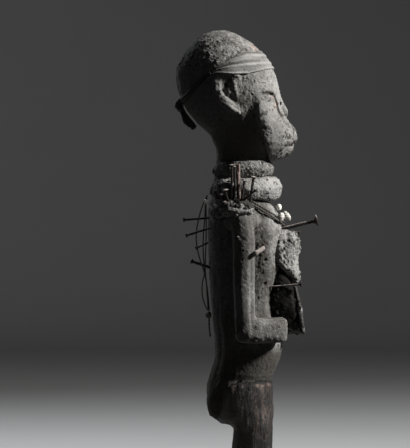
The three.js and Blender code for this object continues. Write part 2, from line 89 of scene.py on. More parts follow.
def light_studio():
    """A key lamp in front, a weak fill behind the camera, a soft lamp for the back, a dim room."""
    for name, lamp in LAMPS.items():
        hang_lamp(name, *lamp)
    world = bpy.data.worlds.new("studio_room")
    world.use_nodes = True
    room = world.node_tree.nodes["Background"]
    room.inputs["Color"].default_value = ROOM_COLOUR
    room.inputs["Strength"].default_value = ROOM_LIGHT
    bpy.context.scene.world = world
    bpy.context.scene.view_settings.view_transform = "Standard"


# Wiring for materials and for trees of nodes

FLOAT, COLOUR, VECTOR = "NodeSocketFloat", "NodeSocketColor", "NodeSocketVector"
SOLID, FINISH = "NodeSocketGeometry", "NodeSocketMaterial"


class Bench:
    """A node tree with short ways to add nodes and join them."""

    def __init__(self, tree):
        self.tree = tree

    def add(self, kind, inputs=None, **settings):
        node = self.tree.nodes.new(kind)
        for key, value in settings.items():
            setattr(node, key, value)
        for key, value in (inputs or {}).items():
            self.feed(node.inputs[key], value)
        return node

    def make(self, kind, inputs=None, **settings):
        """Adds a node and gives its first output."""
        return self.add(kind, inputs, **settings).outputs[0]

    def feed(self, socket, value):
        if isinstance(value, bpy.types.NodeSocket):
            self.tree.links.new(value, socket)
        else:
            socket.default_value = value

    def math(self, operation, a, b=0.0, clamp=False):
        return self.make("ShaderNodeMath", {0: a, 1: b}, operation=operation, use_clamp=clamp)

    def times(self, a, b, clamp=False):
        return self.math("MULTIPLY", a, b, clamp)

    def plus(self, a, b):
        return self.math("ADD", a, b)

    def less(self, a, b, clamp=False):
        return self.math("SUBTRACT", a, b, clamp)

    def vector(self, operation, a, b):
        second = "Scale" if operation == "SCALE" else 1
        return self.make("ShaderNodeVectorMath", {0: a, second: b}, operation=operation)

    def shake(self, amount, **noise):
        """A small move in every direction, by an amount."""
        rough = self.add("ShaderNodeTexNoise", noise).outputs["Color"]
        return self.vector("SCALE", self.vector("SUBTRACT", rough, (0.5, 0.5, 0.5)), amount)

    def ramp(self, value, low, high, to_low=0.0, to_high=1.0):
        """Stretches low..high to to_low..to_high with soft ends."""
        return self.make("ShaderNodeMapRange", {
            "Value": value, "From Min": low, "From Max": high,
            "To Min": to_low, "To Max": to_high,
        }, interpolation_type="SMOOTHSTEP")

    def coats(self, base, *coats):
        """Lays coats over a base colour, each with its share and its own colour."""
        for share, colour in coats:
            node = self.add("ShaderNodeMix", {0: share, 6: base, 7: colour}, data_type="RGBA")
            base = node.outputs[2]
        return base

    def noise(self, place, scale, detail=2.0, roughness=0.5):
        return self.make("ShaderNodeTexNoise", {
            "Vector": place, "Scale": scale, "Detail": detail, "Roughness": roughness,
        })

    def stretch(self, place, scale):
        return self.make("ShaderNodeMapping", {"Vector": place, "Scale": scale})

    def attribute(self, name):
        return self.add("ShaderNodeAttribute", attribute_name=name).outputs["Fac"]

    def group(self, name, **inputs):
        """A shared group; its inputs are named with underscores for spaces."""
        inputs = {key.replace("_", " "): value for key, value in inputs.items()}
        return self.add("ShaderNodeGroup", inputs, node_tree=GROUPS[name]).outputs


def new_group(name, kind, inputs, outputs):
    """A node group with named inputs, each with its type and first value, and named outputs."""
    tree = bpy.data.node_groups.new(name, kind)
    for label, socket, value in inputs:
        made = tree.interface.new_socket(name=label, in_out="INPUT", socket_type=socket)
        if value is not None:
            made.default_value = value
    for label, socket in outputs:
        tree.interface.new_socket(name=label, in_out="OUTPUT", socket_type=socket)
    bench = Bench(tree)
    return tree, bench, bench.add("NodeGroupInput").outputs, bench.add("NodeGroupOutput").inputs


def group_grit():
    """Grit of dried clay: its height, its pits and its slow mottling."""
    tree, b, given, out = new_group("grit", "ShaderNodeTree", [
        ("Place", VECTOR, None), ("Crumb Scale", FLOAT, 380.0), ("Dust Scale", FLOAT, 1100.0),
        ("Pit Scale", FLOAT, 420.0), ("Pit Share", FLOAT, 0.5), ("Mottle Scale", FLOAT, 28.0),
    ], [("Height", FLOAT), ("Pits", FLOAT), ("Mottle", FLOAT)])
    place = given["Place"]
    crumb = b.noise(place, given["Crumb Scale"], 3.0, 0.65)
    dust = b.noise(place, given["Dust Scale"], 2.0, 0.6)
    apart = b.vector("ADD", place, (0.11, 0.17, 0.05))
    where = b.ramp(b.noise(place, 45.0, 2.0), 0.42, 0.62, 0.0, 0.1)
    pit = b.plus(b.noise(apart, given["Pit Scale"], 2.0, 0.55), where)
    depth = b.times(b.ramp(pit, 0.64, 0.76), given["Pit Share"])
    height = b.plus(b.times(crumb, 0.75), b.times(dust, 0.35))
    b.feed(out["Height"], b.less(height, depth))
    b.feed(out["Pits"], depth)
    b.feed(out["Mottle"], b.noise(place, given["Mottle Scale"], 5.0, 0.62))
    return tree


def group_wear():
    """Dirt that settles in the hollows and the paler rub on what stands out."""
    tree, b, given, out = new_group("wear", "ShaderNodeTree", [
        ("Colour", COLOUR, None), ("Dirt", COLOUR, None), ("Rubbed", COLOUR, None),
        ("Dirt Amount", FLOAT, 1.0), ("Rub Amount", FLOAT, 0.5), ("Height", FLOAT, 0.5),
    ], [("Colour", COLOUR)])
    hollow = b.times(b.attribute("hollow"), given["Dirt Amount"], True)
    ridge = b.times(b.attribute("ridge"), given["Rub Amount"])
    ridge = b.times(ridge, b.ramp(given["Height"], 0.3, 0.75), True)
    b.feed(out["Colour"], b.coats(given["Colour"], (ridge, given["Rubbed"]),
                                  (hollow, given["Dirt"])))
    return tree


def group_wood():
    """Upright wood fibres: their height, dark pores and long streaks."""
    tree, b, given, out = new_group("wood_fibres", "ShaderNodeTree", [
        ("Place", VECTOR, None), ("Fibre Scale", FLOAT, 520.0), ("Streak Scale", FLOAT, 70.0),
    ], [("Height", FLOAT), ("Pores", FLOAT), ("Streak", FLOAT)])
    along = b.stretch(given["Place"], (1.0, 1.0, 0.13))
    fibre = b.noise(along, given["Fibre Scale"], 3.0, 0.55)
    streak = b.noise(along, given["Streak Scale"], 4.0, 0.6)
    pores = b.ramp(b.noise(along, 900.0, 1.0), 0.40, 0.30)
    height = b.plus(b.times(fibre, 0.7), b.times(streak, 0.5))
    b.feed(out["Height"], b.less(height, b.times(pores, 0.4)))
    b.feed(out["Pores"], pores)
    b.feed(out["Streak"], streak)
    return tree


GROUPS = {"grit": group_grit(), "wear": group_wear(), "wood_fibres": group_wood()}


class Finish(Bench):
    """A material as it is made, with its shader and each point's own place."""

    def __init__(self, name):
        self.material = bpy.data.materials.new(name)
        self.material.use_nodes = True
        super().__init__(self.material.node_tree)
        self.place = self.add("ShaderNodeTexCoord").outputs["Object"]

    def done(self, colour, rough, height=None, depth_mm=0.0, strength=1.0, **more):
        """Feeds the shader its colour, its roughness and a grain so many millimetres deep."""
        shader = self.tree.nodes["Principled BSDF"]
        if height is not None:
            more["Normal"] = self.make("ShaderNodeBump", {
                "Strength": strength, "Distance": depth_mm * MM, "Height": height})
        more.update({"Base Color": colour, "Roughness": rough})
        for key, value in more.items():
            self.feed(shader.inputs[key.replace("_", " ")], value)
        return self.material


def shade(value, warm=0.0):
    """A near-neutral colour; a positive warm leans it to brown."""
    return (value * (1 + warm), value * (1 + 0.28 * warm), value * (1 - 0.75 * warm), 1)


def darker(colour, share):
    return tuple(c * share for c in colour[:3]) + (1,)


BARED_WOOD = (0.40, 0.285, 0.245, 1)
PALE_DUST_AND_TOP_LIGHT = (0.42, 0.37, 0.345, 1)
DULL = 0.25     # how strongly clay and wood mirror the lamps


def earthy(name, colours, relief=1.0, crumb=380.0, pits=0.35, rub=0.6):
    """Dried clay, cloth caked with it, or crust: dark, middle, pale, dirt and rub colours; the dirt
    colour also lays on painted shade and the rub colour painted light, where the tone mark says so.
    """
    f = Finish(name)
    dark, middle, pale, dirt_and_shade, rubbed_and_lit = colours
    grit = f.group("grit", Place=f.place, Crumb_Scale=crumb, Pit_Share=pits)
    height, mottling, tone = grit["Height"], grit["Mottle"], f.attribute("tone")
    base = f.coats(
        dark, (f.ramp(mottling, 0.36, 0.64), middle),
        (f.ramp(height, 0.56, 0.74, 0.0, 0.85), pale), (f.ramp(height, 0.5, 0.36, 0.0, 0.6), dirt_and_shade),
        (f.times(grit["Pits"], 1.4, True), dirt_and_shade),
        # a tone below nought lays on the dirt colour and above nought the rub colour: painted shade
        # and painted light where the carving marks them, the clay's own patchiness elsewhere
        (f.times(tone, -1.0, True), dirt_and_shade), (f.times(tone, 1.0, True), rubbed_and_lit),
        (f.times(f.attribute("bared"), 0.6, True), BARED_WOOD))
    wear = f.group("wear", Colour=base, Dirt=dirt_and_shade, Rubbed=rubbed_and_lit, Dirt_Amount=0.9,
                   Rub_Amount=rub, Height=height)
    return f.done(wear["Colour"], f.ramp(mottling, 0.3, 0.7, 0.86, 0.97), height, relief,
                  f.ramp(f.attribute("worn"), 0.0, 1.0, 1.0, 0.3), Specular_IOR_Level=DULL)


def wooden(name, dark, middle, pale, relief):
    """Bare wood with upright fibres, worn paler on what stands out."""
    f = Finish(name)
    black = darker(dark, 0.35)
    fibres = f.group("wood_fibres", Place=f.place)
    grit = f.group("grit", Place=f.place, Crumb_Scale=300.0, Pit_Scale=260.0)
    streak, height, tone = fibres["Streak"], grit["Height"], f.attribute("tone")
    base = f.coats(
        dark, (f.ramp(streak, 0.36, 0.66), middle),
        (f.ramp(f.noise(f.place, 24.0, 4.0), 0.5, 0.75, 0.0, 0.35), pale),
        (f.times(fibres["Pores"], 0.7), dark),
        (f.ramp(height, 0.57, 0.76, 0.0, 0.75), pale), (f.ramp(height, 0.5, 0.38, 0.0, 0.7), dark),
        # a tone below nought darkens towards near black, partly the wood's own patches and partly
        # painted shade under the clay's edge
        (f.times(tone, -1.0, True), black), (f.times(tone, 1.0, True), pale))
    wear = f.group("wear", Colour=base, Dirt=black, Rubbed=pale, Dirt_Amount=0.9,
                   Rub_Amount=0.7, Height=streak)
    return f.done(wear["Colour"], f.ramp(streak, 0.3, 0.7, 0.6, 0.85),
                  f.plus(fibres["Height"], height), relief, Specular_IOR_Level=DULL)


def iron(name, dusty):
    """Forged iron under brown rust, paler on what faces up with dust and painted light from above,
    and dusty all over if dusty is 1.
    """
    f = Finish(name)
    grit = f.group("grit", Place=f.place, Crumb_Scale=700.0, Dust_Scale=2200.0, Pit_Scale=900.0,
                   Mottle_Scale=190.0)
    mottling, height = grit["Mottle"], grit["Height"]
    facing = f.add("ShaderNodeNewGeometry").outputs["Normal"]
    upward = f.add("ShaderNodeSeparateXYZ", {0: facing}).outputs["Z"]
    # paler on what faces up: dust, and painted light from above
    dust = f.math("MAXIMUM", f.ramp(upward, 0.4, 0.9), dusty)
    dust = f.times(dust, f.ramp(height, 0.35, 0.6, 0.25, 0.9))
    base = f.coats((0.006, 0.0055, 0.0055, 1),
                   (f.ramp(mottling, 0.38, 0.6), (0.018, 0.013, 0.011, 1)),
                   (f.ramp(height, 0.58, 0.85, 0.0, 0.5), (0.060, 0.043, 0.036, 1)),
                   (dust, PALE_DUST_AND_TOP_LIGHT))
    return f.done(base, f.ramp(mottling, 0.35, 0.62, 0.52, 0.9), height, 0.35,
                  Metallic=f.ramp(mottling, 0.52, 0.36, 0.0, 0.3), Specular_IOR_Level=0.2)


def fibrous():
    """Dark plant fibre with paler hairs."""
    f = Finish("plant_fibre")
    hairs = f.noise(f.place, 1500.0, 2.0, 0.7)
    faded = f.ramp(f.noise(f.place, 90.0, 3.0), 0.5, 0.7, 0.0, 0.5)
    base = f.coats((0.020, 0.017, 0.014, 1), (f.ramp(hairs, 0.4, 0.7), (0.085, 0.074, 0.062, 1)),
                   (faded, (0.17, 0.16, 0.15, 1)))
    return f.done(base, f.ramp(hairs, 0.3, 0.7, 0.7, 0.95), hairs, 0.25)


def bony(name, dark, pale, grain, rough):
    """Bone or shell: pale, with fine lines and dirt in its hollows."""
    f = Finish(name)
    lines = f.noise(f.stretch(f.place, grain), 420.0, 3.0, 0.6)
    stained = f.ramp(f.noise(f.place, 160.0, 3.0), 0.56, 0.74, 0.0, 0.6)
    base = f.coats(dark, (f.ramp(lines, 0.35, 0.62), pale), (stained, darker(dark, 0.45)))
    return f.done(base, f.ramp(lines, 0.3, 0.7, *rough), lines, 0.2)


def resin():
    """Black resin, lumpy, with a dull gloss under grey dust; its near-black colour is also painted
    shade from the chest pack above.
    """
    f = Finish("black_resin")
    grit = f.group("grit", Place=f.place, Crumb_Scale=260.0, Pit_Scale=300.0, Mottle_Scale=60.0)
    mottling, height = grit["Mottle"], grit["Height"]
    dust = f.times(f.ramp(height, 0.7, 0.95), f.ramp(mottling, 0.54, 0.7))
    base = f.coats((0.0025, 0.0023, 0.0022, 1),
                   (f.ramp(mottling, 0.4, 0.66), (0.008, 0.007, 0.0065, 1)),
                   (dust, (0.018, 0.017, 0.016, 1)))
    return f.done(base, f.ramp(mottling, 0.35, 0.62, 0.42, 0.85), height, 0.9,
                  Specular_IOR_Level=0.08)


def floor_paint():
    """Pale matt paper with hardly any grain."""
    f = Finish("studio_paper")
    base = f.coats((0.60, 0.605, 0.61, 1), (f.noise(f.place, 3.0, 3.0), (0.64, 0.645, 0.65, 1)))
    return f.done(base, 0.9)


MATERIALS = {
    "clay": earthy("clay_crust", (shade(0.115, 0.05), shade(0.185, 0.04), shade(0.31, 0.04),
                                  shade(0.036, 0.14), shade(0.34, 0.02))),
    "cloth": earthy("caked_cloth", (shade(0.14, 0.04), shade(0.205, 0.04), shade(0.275, 0.03),
                                    shade(0.036, 0.1), shade(0.32, 0.02)),
                    relief=0.5, crumb=480.0, pits=0.1),
    "medicine": earthy("medicine_clay", (shade(0.10, 0.05), shade(0.195, 0.05), shade(0.40, 0.04),
                                         shade(0.028, 0.1), shade(0.36, 0.02)),
                       relief=1.3, crumb=360.0, pits=0.6),
    "crust": earthy("belly_crust", (shade(0.03, 0.08), shade(0.05, 0.06), shade(0.11, 0.05),
                                    shade(0.014, 0.1), shade(0.33, 0.03)),
                    relief=1.3, crumb=360.0, pits=0.6, rub=0.15),
    "wood": wooden("bare_wood", (0.005, 0.0042, 0.0038, 1), (0.015, 0.012, 0.0105, 1),
                   (0.125, 0.090, 0.076, 1), 1.0),
    "peg": wooden("peg_wood", (0.075, 0.052, 0.044, 1), (0.25, 0.185, 0.16, 1),
                  (0.46, 0.37, 0.33, 1), 0.3),
    "iron": iron("rusted_iron", 0.0),
    "dusty_iron": iron("dusty_iron", 0.5),
    "fibre": fibrous(),
    "bone": bony("white_bone", (0.62, 0.60, 0.54, 1), (0.90, 0.89, 0.85, 1), (1, 1, 0.3),
                 (0.35, 0.6)),
    "shell": bony("grey_shell", (0.28, 0.265, 0.245, 1), (0.62, 0.60, 0.56, 1), (1, 1, 0.25),
                  (0.45, 0.7)),
    "resin": resin(),
    "paper": floor_paint(),
}


# Shaping: noise, simple shapes and solids held as distances

def scattered(ix, iy, iz, seed):
    """A fixed number from 0 to 1 for each lattice point."""
    h = (ix * 73856093) ^ (iy * 19349663) ^ (iz * 83492791) ^ (seed * 40503 + 977)
    h = ((h ^ (h >> 13)) * 1274126177) & 0xFFFFFFFF
    h = ((h ^ (h >> 15)) * 2246822519) & 0xFFFFFFFF
    return ((h ^ (h >> 16)) & 0xFFFFFF) / 0xFFFFFF


def eighths(part):
    """The eight corners of a cell, each with its share at a place in the cell."""
    for corner in np.ndindex(2, 2, 2):
        share = 1.0
        for axis, far in enumerate(corner):
            share = share * (part[:, axis] if far else 1 - part[:, axis])
        yield corner, share


def swells(points, size, seed, layers=1, stretch=(1, 1, 1)):
    """Smooth ups and downs from -1 to 1, about one size apart."""
    total, weight, whole = 0.0, 1.0, 0.0
    for layer in range(layers):
        place = points / (np.array(stretch) * size) + 0.37 * layer + seed * 0.173
        low = np.floor(place).astype(np.int64)
        part = place - low
        part = part * part * part * (part * (part * 6 - 15) + 10)
        value = sum(share * scattered(*(low + corner).T, seed + layer)
                    for corner, share in eighths(part))
        total, whole = total + weight * (2 * value - 1), whole + weight
        size, weight = size / 2, weight / 2
    return total / whole


def crumbs(points, size, seed, share=1.0):
    """Rounded lumps from 0 to 1, about one size apart; only a share of them is there."""
    place = points / size + seed * 0.31
    low = np.floor(place - 0.5).astype(np.int64)
    best = np.zeros(len(points))
    for corner in np.ndindex(2, 2, 2):
        cell = low + corner
        spot = [scattered(*cell.T, seed + k) for k in (11, 12, 13)]
        centre = cell + 0.5 + 0.6 * (np.stack(spot, 1) - 0.5)
        radius = 0.34 + 0.3 * scattered(*cell.T, seed + 14)
        rise = np.clip(1 - ((place - centre) ** 2).sum(1) / radius ** 2, 0, 1)
        best = np.maximum(best, rise * (scattered(*cell.T, seed + 15) < share))
    return best


def pocks(points, size, seed, few=0.42):
    """Ragged little hollows from 0 to 1; a larger few leaves fewer of them."""
    field = 0.7 * swells(points, size, seed, 2) + 0.45 * swells(points, 3.1 * size, seed + 3)
    return between(field, few, few + 0.2)


def between(value, low, high):
    """0 below low, 1 above high and smooth in between; low may be above high."""
    t = np.clip((value - low) / (high - low), 0, 1)
    return t * t * (3 - 2 * t)


def near_line(a, b, line, width):
    """1 on a line of points in the plane of a and b, and 0 a width away from it."""
    best = np.full(len(a), 1e9)
    for (a0, b0), (a1, b1) in zip(line[:-1], line[1:]):
        da, db = a1 - a0, b1 - b0
        t = np.clip(((a - a0) * da + (b - b0) * db) / (da * da + db * db), 0, 1)
        best = np.minimum(best, np.hypot(a - a0 - t * da, b - b0 - t * db))
    return between(best, width, 0.3 * width)


def slant(line, run, at):
    """How much longer a line is than its run, at places along it."""
    slope = np.interp(at, run, np.gradient(np.interp(run, *line.T)))
    return np.sqrt(1 + slope ** 2)


def patch(a, b, middle, size):
    """A soft oval patch in the plane of a and b: 1 in its middle and fading over its size."""
    return np.exp(-(((a - middle[0]) / size[0]) ** 2 + ((b - middle[1]) / size[1]) ** 2))


def smooth_path(points, per_span):
    """A smooth curve that passes through points, with so many steps from one to the next."""
    p = np.array(points, float)
    p = np.vstack([2 * p[0] - p[1], p, 2 * p[-1] - p[-2]])
    path = []
    for i in range(1, len(p) - 2):
        for t in np.arange(per_span) / per_span:
            a, b, c, d = p[i - 1], p[i], p[i + 1], p[i + 2]
            path.append(0.5 * (2 * b + (c - a) * t + (2 * a - 5 * b + 4 * c - d) * t * t
                               + (3 * b - a - 3 * c + d) * t ** 3))
    path.append(p[-2])
    return np.array(path)


def turning(degrees):
    """Turns about X, then Y, then Z of the piece, as the solids do it."""
    turn = Matrix.Identity(3)
    for angle, axis in zip(degrees, "XYZ"):
        turn = turn @ Matrix.Rotation(math.radians(angle), 3, axis)
    return np.array(turn)


class Shape:
    """A simple body: the box that it lies in and its distance at grid points."""

    def __init__(self, low, high, distance):
        self.low, self.high, self.distance = np.array(low), np.array(high), distance


def lump(centre, radii, turn=(0, 0, 0)):
    """An ellipsoid."""
    centre, radii, axes = np.array(centre, float), np.array(radii, float), turning(turn)
    reach = np.abs(axes) @ radii

    def distance(x, y, z):
        offset = [v - c for v, c in zip((x, y, z), centre)]
        local = [sum(o * axes[i, k] for i, o in enumerate(offset)) for k in range(3)]
        near = np.sqrt(sum((v / r) ** 2 for v, r in zip(local, radii)))
        slope = np.sqrt(sum((v / r ** 2) ** 2 for v, r in zip(local, radii)))
        return near * (near - 1) / np.maximum(slope, 1e-6)

    return Shape(centre - reach, centre + reach, distance)


def strip(points, radii):
    """A round bar along a smooth path, with one radius or one at each point."""
    path = smooth_path(points, per_span=5)
    widths = np.broadcast_to(np.asarray(radii, float), (len(points),))
    at = np.linspace(0, len(points) - 1, len(path))
    widths = np.interp(at, np.arange(len(points)), widths)

    def distance(x, y, z):
        best = None
        for a, b, ra, rb in zip(path[:-1], path[1:], widths[:-1], widths[1:]):
            along = b - a
            t = ((x - a[0]) * along[0] + (y - a[1]) * along[1] + (z - a[2]) * along[2])
            t = np.clip(t / max(along @ along, 1e-9), 0, 1)
            gap = np.sqrt((x - a[0] - t * along[0]) ** 2 + (y - a[1] - t * along[1]) ** 2
                          + (z - a[2] - t * along[2]) ** 2) - ra - t * (rb - ra)
            best = gap if best is None else np.minimum(best, gap)
        return best

    wide = widths.max()
    return Shape(path.min(0) - wide, path.max(0) + wide, distance)


def mirrored(side, points):
    return [(side * p[0], *p[1:]) for p in points]


def softened(field, sigma):
    """The field blurred evenly, about sigma grid steps wide."""
    reach = max(1, int(math.ceil(2.6 * sigma)))
    weights = np.exp(-0.5 * (np.arange(-reach, reach + 1) / sigma) ** 2)
    weights = (weights / weights.sum()).astype(np.float32)
    for axis in range(3):
        wide = np.pad(field, [(reach, reach) if k == axis else (0, 0) for k in range(3)],
                      mode="edge")
        field = sum(w * np.take(wide, range(i, i + field.shape[axis]), axis=axis)
                    for i, w in enumerate(weights))
    return field


def joined(here, other, blend, sign):
    """Two fields made one, with a fillet: their union if sign is 1, their overlap if -1."""
    share = np.clip(0.5 + 0.5 * sign * (other - here) / blend, 0, 1)
    return other * (1 - share) + here * share - sign * blend * share * (1 - share)


def solid_of(node):
    """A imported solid's corners in millimetres, and its triangles."""
    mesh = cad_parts[node].data
    points = np.empty(len(mesh.vertices) * 3, np.float32)
    mesh.vertices.foreach_get("co", points)
    mesh.calc_loop_triangles()
    triangles = np.empty(len(mesh.loop_triangles) * 3, np.int32)
    mesh.loop_triangles.foreach_get("vertices", triangles)
    return points.reshape(-1, 3) / MM, triangles.reshape(-1, 3).astype(np.uint32)


REACH = 6      # how many grid steps on each side of a surface its distance is known


class Form:
    """A solid held as distances to its surface on an even grid, negative inside.

    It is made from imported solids, blurred by so many grid steps, and grown a little.
    """

    def __init__(self, nodes, step, soften=1.5, low=None, high=None, grow=0.0):
        self.step = step
        parts = [solid_of(n) for n in nodes]
        corners = np.vstack([p for p, _ in parts])
        low = corners.min(0) if low is None else np.maximum(low, corners.min(0))
        high = corners.max(0) if high is None else np.minimum(high, corners.max(0))
        self.first = np.floor(low / step).astype(int) - REACH - 2
        size = np.ceil(high / step).astype(int) + REACH + 3 - self.first
        self.field = np.full(size, REACH * step, np.float32)
        spacing = openvdb.createLinearTransform(voxelSize=step)
        for points, triangles in parts:
            grid = openvdb.FloatGrid.createLevelSetFromPolygons(
                points, triangles=triangles, transform=spacing, halfWidth=float(REACH))
            part = np.empty(size, np.float32)
            grid.copyToArray(part, ijk=tuple(int(v) for v in self.first))
            self.field = np.minimum(self.field, part)
        self.raw = self.field - np.float32(grow)
        self.field = softened(self.raw, soften)

    def calm(self, sigma, share, regain=0.0):
        """Smooths much more where share, from 0 to 1, says so, and grows back by regain."""
        calmer = softened(self.raw, sigma) - np.float32(regain)
        self.field = (self.field * (1 - share) + calmer * share).astype(np.float32)

    def meets(self, axis, side, a, b):
        """Where the surface is met coming in along an axis from one side, at a and b."""
        others = [k for k in range(3) if k != axis]
        spot = [0, 0, 0]
        for k, value in zip(others, (a, b)):
            spot[k] = int(round(value / self.step)) - self.first[k]
        spot[axis] = slice(None)
        line = self.field[tuple(spot)]
        line = line[::-1] if side > 0 else line
        inside = int(np.argmax(line < 0))
        place = inside - line[inside] / (line[inside] - line[inside - 1])
        place = len(line) - 1 - place if side > 0 else place
        return (place + self.first[axis]) * self.step

    def on_flank(self, side, spots):
        """Points on the side of the form, from their depth Y, height Z and how proud they are."""
        return [(self.meets(0, side, y, z) + side * proud, y, z) for y, z, proud in spots]

    def on_front(self, spots):
        """Points on the front, from X, height Z and how proud they are."""
        return [(x, self.meets(1, -1, x, z) - proud, z) for x, z, proud in spots]

    def axes(self, window=None):
        """Grid coordinates in millimetres along X, Y and Z, shaped to fit the field."""
        window = window or [slice(0, n) for n in self.field.shape]
        lines = [(np.arange(s.start, s.stop) + f) * self.step
                 for s, f in zip(window, self.first)]
        return lines[0][:, None, None], lines[1][None, :, None], lines[2][None, None, :]

    def window(self, shape, margin):
        low = np.floor((shape.low - margin) / self.step).astype(int) - self.first
        high = np.ceil((shape.high + margin) / self.step).astype(int) - self.first + 1
        return tuple(slice(max(0, int(a)), max(0, min(int(n), int(b))))
                     for a, b, n in zip(low, high, self.field.shape))

    def mix(self, shape, blend, sign):
        where = self.window(shape, blend + 3 * self.step)
        here = self.field[where]
        if 0 in here.shape:
            return
        other = sign * shape.distance(*self.axes(where))
        self.field[where] = joined(here, other, blend, sign)

    def add(self, shape, blend=1.0):
        """Adds a shape, with a fillet of about the blend's size."""
        self.mix(shape, blend, 1)

    def take(self, shape, blend=1.0):
        """Cuts a shape away, with edges rounded by about the blend's size."""
        self.mix(shape, blend, -1)

    def trim(self, outside, blend=0.8):
        """Keeps only what lies where outside, an array of distances, is negative."""
        self.field = joined(self.field, outside.astype(np.float32), blend, -1)

    def move(self, inward):
        """Moves the surface in by an amount at each place, or out where it is negative."""
        self.field += inward.astype(np.float32)

    def bar(self, side, points, widths, blend):
        """Adds a bar along points, which are given for the left side."""
        self.add(strip(mirrored(side, points), widths), blend)

    def groove(self, side, points, widths, blend):
        """Cuts a groove along points, which are given for the left side."""
        self.take(strip(mirrored(side, points), widths), blend)

    def skin(self):
        """The surface's points in millimetres and its four-sided faces, turned outwards."""
        grid = openvdb.FloatGrid(float(self.field.max()) + 1)
        grid.copyFromArray(np.ascontiguousarray(self.field, np.float32))
        points, quads = grid.convertToQuads(isovalue=0.0)
        return (points + self.first) * self.step, quads[:, ::-1].astype(np.int64)

    def reading(self, field, points):
        """The value of a field at points, between grid points."""
        place = points / self.step - self.first
        low = np.clip(np.floor(place).astype(int), 0, np.array(field.shape) - 2)
        part = place - low
        return sum(share * field[tuple((low + corner).T)] for corner, share in eighths(part))


def outward(points, faces):
    """A unit normal for each point."""
    a, b, c, d = (points[faces[:, k]] for k in range(4))
    across = np.cross(c - a, d - b)
    total = np.zeros_like(points)
    for k in range(3):
        for corner in range(4):
            total[:, k] += np.bincount(faces[:, corner], across[:, k], len(points))
    return total / np.maximum(np.linalg.norm(total, axis=1, keepdims=True), 1e-9)


def make_mesh(name, points, faces, material, marks):
    """An object from points in millimetres, with a value at each point for every mark."""
    mesh = bpy.data.meshes.new(name)
    mesh.from_pydata((points * MM).tolist(), [], faces.tolist())
    for label, values in marks.items():
        layer = mesh.attributes.new(label, "FLOAT", "POINT")
        layer.data.foreach_set("value", np.asarray(values, np.float32))
    mesh.materials.append(MATERIALS[material])
    mesh.shade_smooth()
    thing = bpy.data.objects.new(name, mesh)
    bpy.context.collection.objects.link(thing)
    return thing


def toneless(formula):
    """A relief that only raises the skin."""
    def relief(p, n):
        height = formula(p)
        return height, 0 * height
    return relief


def finish_piece(thing, slot, *nodes):
    """The piece rides on the figure and stands for its solids."""
    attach(thing, "root")
    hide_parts(*nodes)


def sculpt(name, form, relief, material, slot, nodes, shelter=5.0):
    """Skins a form, raises its relief and marks its hollows, ridges and tones.

    Shelter is about how many millimetres across the hollows and ridges are.
    """
    points, faces = form.skin()
    normals = outward(points, faces)
    height, tone, *more = relief(points, normals)
    broad = softened(form.field, shelter / form.step / 2)
    bulge = form.reading(broad, points)
    points = points + normals * height[:, None]
    marks = {
        "hollow": np.clip(between(-bulge, 0.25, 1.5) + between(-height, 0.25, 1.1), 0, 1),
        "ridge": np.clip(between(bulge, 0.5, 1.6) * 0.7 + between(height, 0.2, 0.8) * 0.5, 0, 1),
        "tone": np.clip(tone, -1, 1),
    }
    marks.update(zip(("worn", "bared"), more))
    thing = make_mesh(name, points, faces, material, marks)
    finish_piece(thing, slot, *nodes)
    return thing


# The carving

NECK_SEAM = 462.0      # the head and the trunk meet inside the rolls round the neck
LEG_X = 23             # each leg's distance from the middle
# The cloth band's edges seen from the side: depth and height
BAND_UPPER = np.array([[-40, 605], [-20, 604], [2, 601], [20, 593.5], [37, 583], [57, 568],
                       [88, 541]], float)
BAND_LOWER = np.array([[-40, 587], [0, 577], [20, 575.5], [37, 577], [52, 564], [67, 547],
                       [88, 532]], float)
# The face seen from the side: height, and how far forward it may reach
PROFILE = np.array([[482, 40], [488.6, 44.2], [491.7, 46.6], [495, 48.7], [498, 49.4],
                    [501.4, 50.8], [503.4, 52.4], [507, 53.6], [510.5, 53.9], [514, 53.2],
                    [518, 51.7], [523.6, 48.2], [528, 44.2], [530.4, 42.0], [533, 43.6],
                    [538, 43.8], [542, 41.8], [546, 39.4], [553, 36.3], [561, 34.2], [570, 32.6],
                    [584, 28.4], [600, 40]])
# Painted shade in the creases of the face's side: eye, nose, nostril, mouth and lower lid, with
# width and share
FACE_CREASE_SHADES = (
    ([(-13, 554.6), (-20, 556), (-25, 555.4), (-28.4, 553.6)], 2.2, 1),
    ([(-28, 553), (-30.6, 547), (-31.8, 541), (-33.4, 536), (-37, 531.8)], 2.2, 1),
    ([(-38.5, 532.4), (-41.5, 532)], 1.8, 1),
    ([(-45.5, 500.4), (-52, 501)], 1.9, 1),
    ([(-15, 549), (-21, 546.8), (-27, 549)], 1.2, 0.5),
)
# Where clay has rubbed off the eyelid, the nose and the crown: depth and height, and size
RUBBED_SPOTS = (((-24.5, 551.3), (3.2, 1.7)), ((-30.2, 543), (2.2, 6)), ((-6, 606.5), (5, 4)))
OLD_HOLES = ((-18.1, 375.1, 1.5), (-17.6, 348.7, 1.6), (-10.5, 333, 1.0))   # depth, height, size
# The ear's rim from its front down to the lobe: depth and height
EAR_RIM = [[12, 574], [24, 577], [34, 572], [35, 559], [30, 547.5], [21, 540], [10.5, 534]]


def ear_side(y):
    """How far out the ear's rim lies at a depth."""
    return 47.5 - 0.11 * abs(y - 20)


